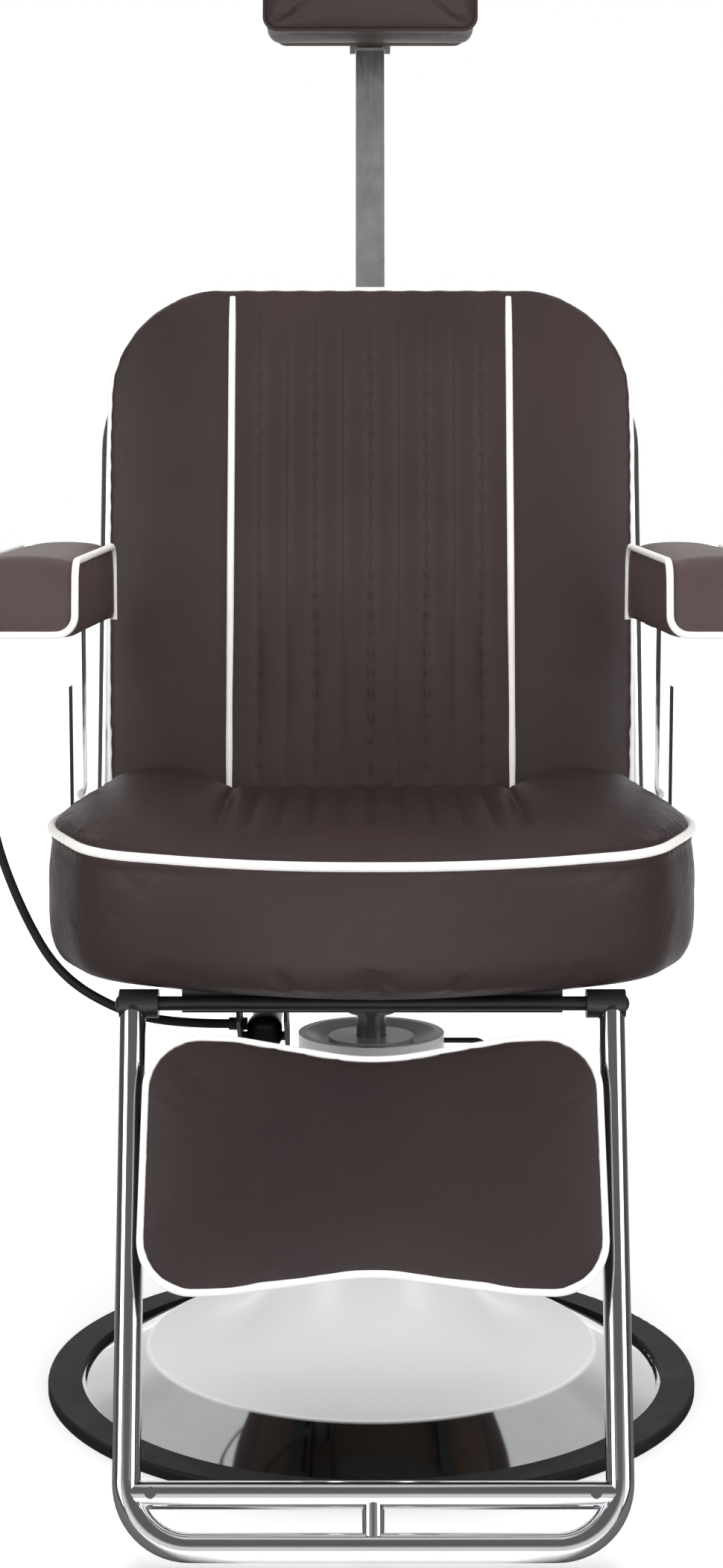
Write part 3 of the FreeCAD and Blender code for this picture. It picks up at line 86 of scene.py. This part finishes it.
class Nodes:
    """an emptied shader tree, and short ways to add the few kinds of node that it needs"""

    def __init__(self, tree):
        self.tree = tree
        self.tree.nodes.clear()

    def node(self, kind, **settings):
        made = self.tree.nodes.new(kind)
        for name, value in settings.items():
            setattr(made, name, value)
        return made

    def link(self, start, end):
        self.tree.links.new(start, end)

    def fill(self, socket, value):
        """a socket takes a plain value, or else a link from another node"""
        if isinstance(value, (int, float, tuple)):
            socket.default_value = value
        else:
            self.link(value, socket)

    def maths(self, operation, *values):
        made = self.node("ShaderNodeMath", operation=operation)
        for socket, value in zip(made.inputs, values):
            self.fill(socket, value)
        return made.outputs[0]

    def span(self, first, second):
        """the length of a line with these two sides"""
        return self.maths("SQRT", self.maths("ADD", self.maths("MULTIPLY", first, first),
                                             self.maths("MULTIPLY", second, second)))

    def ramp(self, value, stops):
        """greys that the value runs through, as pairs of a place and a grey"""
        made = self.node("ShaderNodeValToRGB")
        band = made.color_ramp
        while len(band.elements) < len(stops):
            band.elements.new(half)
        for element, (place, grey) in zip(band.elements, stops):
            element.position = place
            element.color = (grey, grey, grey, 1.0)
        self.link(value, made.inputs["Fac"])
        return made.outputs["Color"]

    def fade(self, value, low, high, start=0.0, end=1.0):
        """a grey that runs from start to end while the value runs from low to high"""
        return self.ramp(value, [(low, start), (high, end)])

    def mix(self, share, first, second):
        made = self.node("ShaderNodeMix", data_type="RGBA")
        self.link(share, made.inputs["Factor"])
        self.fill(made.inputs["A"], first)
        self.fill(made.inputs["B"], second)
        return made.outputs["Result"]


class Finish(Nodes):
    """a material with one shader, its textures in the object's own coordinates"""

    def __init__(self, name):
        self.made = bpy.data.materials.new(name)
        self.made.use_nodes = True
        super().__init__(self.made.node_tree)
        self.out = self.node("ShaderNodeOutputMaterial")
        self.shader = self.node("ShaderNodeBsdfPrincipled")
        self.link(self.shader.outputs[0], self.out.inputs["Surface"])
        self.coords = self.node("ShaderNodeTexCoord").outputs["Object"]
        self.last_bump = None

    def stretched(self, scale):
        mapping = self.node("ShaderNodeMapping")
        mapping.inputs["Scale"].default_value = scale
        self.link(self.coords, mapping.inputs["Vector"])
        return mapping.outputs[0]

    def noise(self, scale, detail=2.0, rough=0.5, stretch=None, distortion=0.0):
        made = self.node("ShaderNodeTexNoise")
        made.inputs["Scale"].default_value = scale
        made.inputs["Detail"].default_value = detail
        made.inputs["Roughness"].default_value = rough
        made.inputs["Distortion"].default_value = distortion
        self.link(self.stretched(stretch) if stretch else self.coords, made.inputs["Vector"])
        return made.outputs["Fac"]

    def cells(self, scale):
        made = self.node("ShaderNodeTexVoronoi")
        made.inputs["Scale"].default_value = scale
        self.link(self.coords, made.inputs["Vector"])
        return made.outputs["Distance"]

    def axes(self):
        made = self.node("ShaderNodeSeparateXYZ")
        self.link(self.coords, made.inputs[0])
        return made.outputs

    def bump(self, height, distance, strength):
        """a relief on top of the reliefs that the material has"""
        made = self.node("ShaderNodeBump")
        made.inputs["Distance"].default_value = distance
        made.inputs["Strength"].default_value = strength
        self.link(height, made.inputs["Height"])
        if self.last_bump is not None:
            self.link(self.last_bump, made.inputs["Normal"])
        self.last_bump = made.outputs[0]
        self.link(self.last_bump, self.shader.inputs["Normal"])

    def set(self, **values):
        for name, value in values.items():
            self.fill(self.shader.inputs[name.replace("_", " ")], value)


# Materials
# how dark the painted shade in the leather's pores is
pore_painted_shade = 0.78
white_low = (232, 229, 226)
white_high = (248, 246, 243)
chrome_tint = (214, 215, 217)
chrome_step = 12
chrome_rough = 0.05
chrome_rough_rise = 0.05
steel_rough_rise = 0.18
paint_rough_rise = 0.15
mirror_rough = 0.06
knuckle_rough_rise = 0.3
satin_rough_rise = 0.22
flange_tint = (196, 197, 199)
flange_step = 16
# the dome's near-white satin, painted light: lifted to make up for the seat's shade over the dome
satin_painted_light_low = (246, 246, 246)
satin_painted_light_high = (253, 253, 252)
paint_step = 14
rubber_step = 18
wood_low = (38, 29, 24)
wood_high = (74, 57, 45)
knuckle_black = (24, 24, 25)
axle_y = -0.207
axle_z = 0.398
painted_radius = 14.0 * mm
dome_edge_low = 34.5 * mm
dome_edge_high = 36.2 * mm
dome_scale = 10.0


def leather_finish(name, dark, light):
    """smooth dyed leather: a fine pebbled grain with painted shade darkening its pores, slow changes
    of tone, and a soft gloss
    """
    made = Finish(name)
    tone = made.noise(scale=7.0, detail=4.0, rough=0.55)
    fine = made.noise(scale=160.0, detail=3.0, rough=0.6)
    dyed = made.mix(made.fade(tone, low=0.3, high=0.7), linear(*dark), linear(*light))
    pores = made.fade(made.cells(scale=620.0), low=0.0, high=0.55)
    # painted shade: the pits of the pores are darkened in the colour
    painted_pore_shade = made.fade(pores, low=0.0, high=0.5, start=1.0, end=0.0)
    made.set(Base_Color=made.mix(painted_pore_shade, dyed, linear(*[level * pore_painted_shade for level in dark])),
             Roughness=made.fade(fine, low=0.25, high=0.75, start=0.42, end=0.54),
             Specular_IOR_Level=0.34)
    made.bump(made.noise(scale=38.0, detail=3.0, rough=0.55), distance=0.9 * mm, strength=0.35)
    made.bump(pores, distance=0.16 * mm, strength=0.55)
    return made.made


def piping_finish(name):
    """white synthetic leather drawn over a cord, with slight cross wrinkles"""
    made = Finish(name)
    tone = made.noise(scale=45.0, detail=3.0, rough=0.6)
    made.set(Base_Color=made.mix(tone, linear(*white_low), linear(*white_high)),
             Roughness=made.fade(made.noise(scale=300.0), low=0.3, high=0.7, start=0.38, end=0.5),
             Specular_IOR_Level=0.4)
    made.bump(made.noise(scale=240.0, detail=3.0, rough=0.6), distance=0.6 * mm, strength=0.3)
    return made.made


def plating(made, tint, step):
    """bright plating with a very slight ripple: its few finger marks, and its colour"""
    marks = made.noise(scale=22.0, detail=5.0, rough=0.65)
    made.bump(made.noise(scale=9.0, detail=1.0), distance=0.6 * mm, strength=0.12)
    return marks, made.mix(marks, linear(*tint), lighter(tint, step))


def chrome_finish(name):
    made = Finish(name)
    marks, colour = plating(made, chrome_tint, chrome_step)
    made.set(Base_Color=colour, Metallic=1.0,
             Roughness=made.fade(marks, low=0.35, high=0.75, start=chrome_rough,
                                 end=chrome_rough + chrome_rough_rise))
    return made.made


def steel_finish(name, dark, light, rough, scratch):
    """bare or galvanised steel, clouded, with fine drawn lines along its length"""
    made = Finish(name)
    cloud = made.noise(scale=55.0, detail=5.0, rough=0.62)
    lines = made.noise(scale=1.0, detail=4.0, rough=0.6, stretch=scratch)
    made.set(Base_Color=made.mix(cloud, linear(*dark), linear(*light)), Metallic=0.85,
             Roughness=made.fade(lines, low=0.3, high=0.7, start=rough, end=rough + steel_rough_rise))
    made.bump(lines, distance=0.2 * mm, strength=0.4)
    return made.made


def paint_finish(name, colour, rough, pebble=0.25 * mm):
    """sprayed paint with a slight orange peel"""
    made = Finish(name)
    dust = made.noise(scale=30.0, detail=5.0, rough=0.65)
    made.set(Base_Color=made.mix(made.fade(dust, low=0.35, high=0.8), linear(*colour),
                                 lighter(colour, paint_step)),
             Roughness=made.fade(dust, low=0.3, high=0.8, start=rough, end=rough + paint_rough_rise),
             Specular_IOR_Level=0.4)
    made.bump(made.noise(scale=420.0), distance=pebble, strength=0.5)
    return made.made


def rubber_finish(name, colour, grain=700.0):
    """black rubber, paler where it is worn, with a fine grain"""
    made = Finish(name)
    wear = made.noise(scale=18.0, detail=5.0, rough=0.7)
    made.set(Base_Color=made.mix(made.fade(wear, low=0.4, high=0.8), linear(*colour),
                                 lighter(colour, rubber_step)),
             Roughness=made.fade(wear, low=0.3, high=0.8, start=0.55, end=0.75),
             Specular_IOR_Level=0.3)
    made.bump(made.noise(scale=grain), distance=0.2 * mm, strength=0.5)
    return made.made


def board_finish(name):
    """plywood under a dark stain: long grain across the chair and fainter pores"""
    made = Finish(name)
    grain = made.noise(scale=1.0, detail=5.0, rough=0.6, stretch=(6.0, 90.0, 90.0), distortion=0.6)
    made.set(Base_Color=made.mix(grain, linear(*wood_low), linear(*wood_high)),
             Roughness=made.fade(grain, low=0.3, high=0.7, start=0.55, end=0.75),
             Specular_IOR_Level=0.3)
    made.bump(grain, distance=0.4 * mm, strength=0.4)
    return made.made


def footrest_finish(name):
    """chrome on the tube, and black paint on the knuckles that turn on the axle"""
    made = Finish(name)
    places = made.axes()
    away = made.span(made.maths("SUBTRACT", places["Y"], axle_y),
                     made.maths("SUBTRACT", places["Z"], axle_z))
    painted = made.maths("LESS_THAN", away, painted_radius)
    marks, chrome_colour = plating(made, chrome_tint, chrome_step)
    made.set(Base_Color=made.mix(painted, chrome_colour, linear(*knuckle_black)),
             Metallic=made.maths("SUBTRACT", 1.0, painted),
             Roughness=made.maths("MULTIPLY_ADD", painted, knuckle_rough_rise, mirror_rough))
    return made.made


def dish_finish(name):
    """a dome in a softer near-white satin, whiter than its own finish as painted light against the
    seat's shade, with a bright mirror skirt and flange below it
    """
    made = Finish(name)
    height = made.maths("MULTIPLY", made.axes()["Z"], dome_scale)
    dome = made.fade(height, low=dome_edge_low * dome_scale, high=dome_edge_high * dome_scale)
    cloud = made.noise(scale=5.0, detail=3.0, rough=0.5)
    # the dome's satin white carries painted light against the seat's shade
    satin = made.mix(cloud, linear(*satin_painted_light_low), linear(*satin_painted_light_high))
    marks, mirror_colour = plating(made, flange_tint, flange_step)
    made.set(Base_Color=made.mix(dome, mirror_colour, satin),
             Metallic=made.maths("SUBTRACT", 1.0, dome),
             Roughness=made.maths("MULTIPLY_ADD", dome, satin_rough_rise, mirror_rough))
    return made.made


leather = leather_finish("brown_leather", (48, 36, 36), (56, 43, 41))
# Lit and shaded copies of the one brown leather: the seat and calf pad take darker copies (painted
# shade), and the arm pads a lighter copy (painted light); the back and headrest take the plain
# leather
lit_and_shaded_leathers = {
    "seat_cushion": leather_finish("seat_leather_painted_shade", (47, 34, 35), (55, 41, 41)),
    "arm_pads": leather_finish("arm_leather_painted_light", (70, 56, 55), (82, 67, 64)),
    "calf_pad": leather_finish("calf_leather_painted_shade", (41, 30, 31), (48, 36, 36)),
}
piping = piping_finish("white_piping")
chrome = chrome_finish("chrome")
rubber = rubber_finish("black_rubber", (20, 20, 21))
black_paint = paint_finish("black_paint", (17, 17, 18), rough=0.36)
# The column cap's grey is lighter than its paint: painted light, to make up for the seat's shade over
# the cap
grey_paint = paint_finish("grey_paint", (200, 201, 203), rough=0.32)
plastic = paint_finish("black_plastic", (20, 20, 21), rough=0.42, pebble=0.4 * mm)
post_steel = steel_finish("galvanised_post", (128, 129, 131), (172, 173, 175), rough=0.36,
                          scratch=(260.0, 260.0, 7.0))
steel = steel_finish("machined_steel", (128, 128, 130), (158, 158, 160), rough=0.22,
                     scratch=(300.0, 300.0, 12.0))
zinc = steel_finish("zinc_screws", (120, 120, 118), (160, 160, 156), rough=0.3,
                    scratch=(90.0, 90.0, 90.0))
board = board_finish("stained_board")


def dress(piece, finish):
    piece.data.materials.clear()
    piece.data.materials.append(finish)
    for face in piece.data.polygons:
        face.material_index = 0


# Each finish with the nodes that it covers; what isn't named here is machined steel
dressing = [
    (piping, ["seat_piping", "back_piping", "calf_piping", "arm_piping"]),
    (chrome, ["arm_posts", "back_hinge_pins", "back_hoop", "back_cross_bars", "column_cover",
              "footrest_tread", "pump_pedal", "tread_bolts"]),
    (rubber, ["base_rim", "pedal_pad"]),
    (black_paint, ["axle_nuts", "base_plate", "brake_lever", "footrest_axle", "recline_lever",
                   "calf_straps", "frame_cross_bars", "frame_rails", "gas_spring",
                   "headrest_bracket", "headrest_sleeve", "lever_bracket", "pump_cylinder",
                   "spring_bracket", "swivel_plate"]),
    (grey_paint, ["column_cap"]),
    (plastic, ["arm_post_trims", "brake_knob", "cable_glands", "headrest_knob", "lever_grip"]),
    (post_steel, ["headrest_post"]),
    (board, ["arm_boards", "back_board", "calf_board", "headrest_board", "seat_board"]),
    (zinc, ["back_screws", "pump_flange_bolts", "seat_screws", "swivel_bolts"]),
    (leather, ["seat_cushion", "back_cushion", "headrest_pad", "headrest_piping", "calf_pad",
               "arm_pads"]),
    (footrest_finish("footrest_chrome"), ["footrest_tube"]),
    (dish_finish("dish_plating_painted_light"), ["base_dish"]),
]
for piece in cad.values():
    dress(piece, steel)
for finish, names in dressing:
    for name in names:
        dress(cad[name], finish)


# Release cable: the same points as its solid, as one smooth line
cable_radius = 4.0 * mm
cable_round_steps = 6
cable_length_steps = 16
cable_start = Vector((-350.0, -22.0, 688.0)) * mm
cable_steps = [(0, 0, 0), (0, 55, 0), (-3, 88, -60), (-4, 61, -122), (5, 17, -174), (38, -33, -239),
               (78, -89, -286), (135, -119, -312)]
cable_end = [(-166.3, -119.0, 361.58), (-124.3, -119.0, 361.58)]
cable_points = [cable_start + Vector(step) * mm for step in cable_steps]
cable_points += [Vector(place) * mm for place in cable_end]
cable_curve = bpy.data.curves.new("release_cable_line", "CURVE")
cable_curve.dimensions = "3D"
cable_curve.bevel_depth = cable_radius
cable_curve.bevel_resolution = cable_round_steps
cable_curve.resolution_u = cable_length_steps
line = cable_curve.splines.new("NURBS")
line.points.add(len(cable_points) - 1)
for point, place in zip(line.points, cable_points):
    point.co = (*place, 1.0)
line.order_u = 3
line.use_endpoint_u = True
cable = bpy.data.objects.new("release_cable_sleeve", cable_curve)
scene.collection.objects.link(cable)
cable.data.materials.append(rubber_finish("cable_sleeve", (19, 19, 20), grain=900.0))
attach(cable, "seat")
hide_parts("release_cable")


# Upholstery: a skin from each padded solid, filled with air between its seams
held_reach = 2.0 * mm
held_fade = 4.0 * mm
rest_gap = 3 * mm
held_steps = 10
cloth_frames = 20
cloth_quality = 5
cloth_mass = 0.3
cloth_tension = 18.0
cloth_compression = 10.0
cloth_shear = 6.0
cloth_bending = 0.5
least_move = 1e-9


def tree_of(*names):
    """a search tree over several nodes' surfaces"""
    places, faces = [], []
    for name in names:
        mesh = cad[name].data
        start = len(places)
        places += [vertex.co.copy() for vertex in mesh.vertices]
        faces += [[start + index for index in face.vertices] for face in mesh.polygons]
    return BVHTree.FromPolygons(places, faces)


def vectors_of(mesh, kind):
    """the places ("co") or the normals ("normal") of a mesh's points, a row for each"""
    flat = np.zeros(len(mesh.vertices) * 3)
    mesh.vertices.foreach_get(kind, flat)
    return flat.reshape(-1, 3)


def put(mesh, coords):
    mesh.vertices.foreach_set("co", coords.astype(np.float32).ravel())
    mesh.update()


def baked(piece):
    """the piece's mesh with its modifiers applied"""
    graph = bpy.context.evaluated_depsgraph_get()
    made = bpy.data.meshes.new_from_object(piece.evaluated_get(graph))
    piece.modifiers.clear()
    piece.data = made
    return made


def distance_to(tree, coords):
    return np.array([tree.find_nearest(Vector(place))[3] for place in coords])


def risen(values, start, width):
    """0 up to the start, rising to 1 over the width"""
    return np.clip((values - start) / width, 0.0, 1.0)


def fallen(values, start, width):
    """1 up to the start, falling to 0 over the width"""
    return np.clip(1.0 - (values - start) / width, 0.0, 1.0)


def cover(node, name, voxel, held_by, rests_on, shrink):
    """a closed skin the shape of a padded solid, its sewn and resting points held"""
    source = cad[node].data.copy()
    source.name = name + "_mesh"
    piece = bpy.data.objects.new(name, source)
    scene.collection.objects.link(piece)
    remesh = piece.modifiers.new("remesh", "REMESH")
    remesh.mode = "VOXEL"
    remesh.voxel_size = voxel
    remesh.use_smooth_shade = True
    mesh = baked(piece)
    coords = vectors_of(mesh, "co")
    held = fallen(distance_to(tree_of(held_by), coords), held_reach, held_fade)
    resting = distance_to(tree_of(rests_on), coords) < rest_gap
    held = np.maximum(held, resting.astype(float))
    put(mesh, coords - vectors_of(mesh, "normal") * (shrink * (1.0 - held))[:, None])
    return piece, held


def ready(piece, held, pressure):
    """cloth on the cover, pinned where it is held, with air in it"""
    group = piece.vertex_groups.new(name="held")
    for step in range(1, held_steps + 1):
        share = step / held_steps
        found = np.nonzero(np.abs(held - share) < half / held_steps)[0]
        if len(found):
            group.add([int(index) for index in found], share, "REPLACE")
    cloth = piece.modifiers.new("cloth", "CLOTH")
    settings = cloth.settings
    settings.quality = cloth_quality
    settings.mass = cloth_mass
    settings.tension_stiffness = cloth_tension
    settings.compression_stiffness = cloth_compression
    settings.shear_stiffness = cloth_shear
    settings.bending_stiffness = cloth_bending
    settings.use_pressure = True
    settings.uniform_pressure_force = pressure
    settings.vertex_group_mass = "held"
    settings.effector_weights.gravity = 0.0
    cloth.collision_settings.use_self_collision = False
    cloth.point_cache.frame_start = 1
    cloth.point_cache.frame_end = cloth_frames


def settled(piece, before, cap):
    """the simulated mesh, no point moved further than the cap"""
    made = baked(piece)
    move = vectors_of(made, "co") - before
    length = np.linalg.norm(move, axis=1)
    factor = np.minimum(1.0, cap / np.maximum(length, least_move))
    put(made, before + move * factor[:, None])


def refined(piece):
    """the piece's mesh, divided once and shaded smooth"""
    smooth = piece.modifiers.new("smooth", "SUBSURF")
    smooth.levels = 1
    smooth.render_levels = 1
    mesh = baked(piece)
    for face in mesh.polygons:
        face.use_smooth = True
    return mesh


# The channels sewn into the seat and the backrest
channel_count = 10
seam_width = 6 * mm
groove_width = 5 * mm
panel_margin = 6 * mm
facing_fade = 0.3
seat_panel_half = 132.0 * mm
seat_panel_front = -0.150
seat_front_fade = 0.022
seat_facing = 0.5
seat_groove = 2.5 * mm
seat_pinned_height = 0.4125
back_panel_half = 138.0 * mm
back_panel_low = 0.080
back_panel_high = 0.592
back_end_fade = 0.02
back_facing = 0.4
back_groove = 2.2 * mm
back_pinned_depth = 0.0235
back_tilt = math.radians(14.0)
back_pivot = np.array([0.0, 0.218, 0.428])
back_inward = np.array([0, math.cos(back_tilt), -math.sin(back_tilt)])


def marks(panel_half):
    """where the seams of a panel lie across the chair"""
    return [-panel_half + 2.0 * panel_half * n / channel_count for n in range(channel_count + 1)]


def near_lines(across, places, width):
    """1 on a sewn line, falling to 0 at its width"""
    nearest = np.min(np.abs(across[:, None] - np.array(places)[None, :]), axis=1)
    return fallen(nearest, 0.0, width)


def seat_lines(coords, normals, width):
    """how much of a seam of the seat's channelled panel each point is in"""
    panel = risen(coords[:, 1], seat_panel_front, seat_front_fade)
    panel = panel * risen(normals[:, 2], seat_facing, facing_fade)
    panel = panel * (np.abs(coords[:, 0]) < seat_panel_half + panel_margin)
    return near_lines(coords[:, 0], marks(seat_panel_half), width) * panel


def on_back_frame(coords):
    """points as across, in front of the hinge line, and up along the leaning back"""
    away = coords - back_pivot
    rear = away[:, 1] * math.cos(back_tilt) - away[:, 2] * math.sin(back_tilt)
    up = away[:, 1] * math.sin(back_tilt) + away[:, 2] * math.cos(back_tilt)
    return np.stack([coords[:, 0], -rear, up], axis=1)


def back_lines(coords, normals, places, width):
    """how much of a seam of the backrest's channelled panel each point is in"""
    local = on_back_frame(coords)
    facing = -(normals[:, 1] * math.cos(back_tilt) - normals[:, 2] * math.sin(back_tilt))
    panel = risen(local[:, 2], back_panel_low, back_end_fade)
    panel = panel * risen(back_panel_high - local[:, 2], 0.0, back_end_fade)
    panel = panel * risen(facing, back_facing, facing_fade)
    panel = panel * (np.abs(local[:, 0]) < back_panel_half + panel_margin)
    return near_lines(coords[:, 0], places, width) * panel


def seat_held(coords, normals):
    lines = seat_lines(coords, normals, seam_width)
    return np.maximum(lines, (coords[:, 2] < seat_pinned_height).astype(float))


def back_held(coords, normals):
    lines = back_lines(coords, normals, marks(back_panel_half), seam_width)
    behind = on_back_frame(coords)[:, 1] < back_pinned_depth
    return np.maximum(lines, behind.astype(float))


def seat_sunk(coords, normals):
    lines = seat_lines(coords, normals, groove_width)
    return coords - np.array([0, 0, 1.0]) * (seat_groove * lines * lines)[:, None]


def back_sunk(coords, normals):
    lines = back_lines(coords, normals, marks(back_panel_half)[1:-1], groove_width)
    return coords + back_inward * (back_groove * lines * lines)[:, None]


held_of = {"seat_cushion": seat_held, "back_cushion": back_held}
sunk_of = {"seat_cushion": seat_sunk, "back_cushion": back_sunk}
specs = {
    "seat_leather_cover": dict(node="seat_cushion", voxel=5 * mm, held_by="seat_piping",
                               rests_on="seat_board", shrink=2.5 * mm, cap=9 * mm,
                               pressure=3.5, body="seat", fill=0.85),
    "back_leather_cover": dict(node="back_cushion", voxel=5 * mm, held_by="back_piping",
                               rests_on="back_board", shrink=2.0 * mm, cap=7 * mm,
                               pressure=3.0, body="backrest", fill=0.85),
    "headrest_leather_cover": dict(node="headrest_pad", voxel=4 * mm, held_by="headrest_piping",
                                   rests_on="headrest_board", shrink=2.0 * mm, cap=8 * mm,
                                   pressure=4.0, body="headrest", fill=0.9),
    "calf_leather_cover": dict(node="calf_pad", voxel=4 * mm, held_by="calf_piping",
                               rests_on="calf_board", shrink=1.5 * mm, cap=6 * mm,
                               pressure=3.0, body="footrest", fill=0.85),
    "arm_leather_covers": dict(node="arm_pads", voxel=4 * mm, held_by="arm_piping",
                               rests_on="arm_boards", shrink=1.5 * mm, cap=6 * mm,
                               pressure=3.0, body="seat", fill=0.9),
}

covers = {}
starts = {}
for name, spec in specs.items():
    node = spec["node"]
    piece, held = cover(node, name, spec["voxel"], spec["held_by"], spec["rests_on"], spec["shrink"])
    starts[name] = vectors_of(piece.data, "co")
    if node in held_of:
        held = np.maximum(held, held_of[node](starts[name], vectors_of(piece.data, "normal")))
    covers[name] = piece
    ready(piece, held, spec["pressure"])

for number in range(1, cloth_frames + 1):
    scene.frame_set(number)
for name, piece in covers.items():
    settled(piece, starts[name], specs[name]["cap"])
scene.frame_set(1)

for name, piece in covers.items():
    spec = specs[name]
    node = spec["node"]
    mesh = refined(piece)
    if node in sunk_of:
        put(mesh, sunk_of[node](vectors_of(mesh, "co"), vectors_of(mesh, "normal")))
    # the seat, calf and arm covers take the copies of the leather with painted shade or painted light
    dress(piece, lit_and_shaded_leathers.get(node, leather))
    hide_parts(spec["node"])
    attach(piece, spec["body"])


# Studio: white to the eye, plain soft light, and dark walls at the sides that only the metal sees
plain_strength = 0.62
least_span = 0.001
wall_stops = [(0.0, 0.80), (0.09, 1.0), (0.13, 0.9), (0.17, 0.12), (0.50, 0.08), (0.88, 0.12),
              (0.94, 0.85), (1.0, 1.0)]
ceiling_stops = [(0.0, 0.14), (0.55, 0.14), (0.75, 0.55), (1.0, 0.75)]
pure_white = (1.0, 1.0, 1.0, 1.0)

world = bpy.data.worlds.new("studio")
scene.world = world
world.use_nodes = True
sky = Nodes(world.node_tree)


def mixed(share, first, second):
    """one shader, and the other where the share is 1"""
    made = sky.node("ShaderNodeMixShader")
    for socket, start in zip(made.inputs, (share, first, second)):
        sky.link(start, socket)
    return made.outputs[0]


toward = sky.node("ShaderNodeSeparateXYZ")
sky.link(sky.node("ShaderNodeTexCoord").outputs["Generated"], toward.inputs[0])
level_span = sky.span(toward.outputs["X"], toward.outputs["Y"])
behind = sky.maths("DIVIDE", toward.outputs["Y"], sky.maths("MAXIMUM", level_span, least_span))
around = sky.maths("MULTIPLY_ADD", behind, half, half)
room = sky.mix(sky.fade(toward.outputs["Z"], low=0.40, high=0.62),
               sky.ramp(around, wall_stops), sky.ramp(around, ceiling_stops))
rays = sky.node("ShaderNodeLightPath").outputs
seen = sky.maths("MAXIMUM", rays["Is Camera Ray"], rays["Is Transmission Ray"])
plain = sky.node("ShaderNodeBackground")
plain.inputs["Color"].default_value = pure_white
plain.inputs["Strength"].default_value = plain_strength
mirror = sky.node("ShaderNodeBackground")
sky.link(room, mirror.inputs["Color"])
white = sky.node("ShaderNodeBackground")
white.inputs["Color"].default_value = pure_white
lit = mixed(rays["Is Glossy Ray"], plain.outputs[0], mirror.outputs[0])
world_out = sky.node("ShaderNodeOutputWorld")
sky.link(mixed(seen, lit, white.outputs[0]), world_out.inputs["Surface"])


# Floor: pale, with dark flags to the left and right that only the metal sees
floor_reach = 40.0
floor_drop = 0.3 * mm
floor_pale = (0.86, 0.86, 0.86, 1.0)
flag_black = (0.04, 0.04, 0.04, 1.0)
flag_line = 0.30
glow_range = 8.0

floor_mesh = bpy.data.meshes.new("floor_mesh")
floor_mesh.from_pydata([(-floor_reach, -floor_reach, 0), (floor_reach, -floor_reach, 0),
                        (floor_reach, floor_reach, 0), (-floor_reach, floor_reach, 0)], [],
                       [(0, 1, 2, 3)])
floor = bpy.data.objects.new("floor", floor_mesh)
floor.location.z = -floor_drop
scene.collection.objects.link(floor)
ground = Finish("pale_floor")
floor_rays = ground.node("ShaderNodeLightPath").outputs
floor_places = ground.axes()
floor_x = floor_places["X"]
floor_y = floor_places["Y"]
ahead = ground.maths("ABSOLUTE", ground.maths("ADD", floor_y, flag_line))
sideways = ground.maths("ARCTAN2", ground.maths("ABSOLUTE", floor_x), ahead)
turned = ground.maths("DIVIDE", sideways, math.pi * half)
flags = ground.maths("MULTIPLY", floor_rays["Is Glossy Ray"],
                     ground.fade(turned, low=0.42, high=0.52, end=0.9))
ground.set(Base_Color=ground.mix(flags, floor_pale, flag_black), Roughness=0.9,
           Specular_IOR_Level=0.1)
floor_seen = ground.maths("MAXIMUM", floor_rays["Is Camera Ray"],
                          ground.maths("MAXIMUM", floor_rays["Is Glossy Ray"],
                                       floor_rays["Is Transmission Ray"]))
glow_share = ground.maths("MULTIPLY", floor_seen, ground.maths("SUBTRACT", 1.0, flags))
# the lamps reach less of the floor further off, so it glows more there
off = ground.maths("DIVIDE", ground.span(floor_x, floor_y), glow_range)
glow = ground.node("ShaderNodeEmission")
glow.inputs["Color"].default_value = pure_white
ground.link(ground.maths("MULTIPLY", glow_share, ground.fade(off, low=0.1, high=0.5, start=0.32)),
            glow.inputs["Strength"])
both = ground.node("ShaderNodeAddShader")
ground.link(ground.shader.outputs[0], both.inputs[0])
ground.link(glow.outputs[0], both.inputs[1])
ground.link(both.outputs[0], ground.out.inputs["Surface"])
floor.data.materials.append(ground.made)


# Lamps: one above, one at each side, and a low one for the base, which the seat shades
lamps = {
    "over_light": dict(place=(0.0, -0.6, 3.4), target=(0.0, 0.0, 0.6), size=(2.6, 2.2), watts=60.0,
                       mirrored=False),
    "left_light": dict(place=(-2.6, -1.6, 1.6), target=(0.0, 0.0, 0.55), size=(1.4, 2.0), watts=26.0,
                       mirrored=True),
    "right_light": dict(place=(2.6, -1.6, 1.6), target=(0.0, 0.0, 0.55), size=(1.4, 2.0), watts=26.0,
                        mirrored=True),
    "low_light": dict(place=(0.0, -2.4, 0.75), target=(0.0, -0.05, 0.04), size=(2.4, 0.5), watts=9.0,
                      mirrored=False),
}
for name, row in lamps.items():
    data = bpy.data.lights.new(name, "AREA")
    data.shape = "RECTANGLE"
    data.size, data.size_y = row["size"]
    data.energy = row["watts"]
    made = bpy.data.objects.new(name, data)
    made.location = row["place"]
    made.rotation_mode = "QUATERNION"
    toward_target = Vector(row["target"]) - Vector(row["place"])
    made.rotation_quaternion = toward_target.to_track_quat("-Z", "Y")
    made.visible_glossy = row["mirrored"]
    scene.collection.objects.link(made)
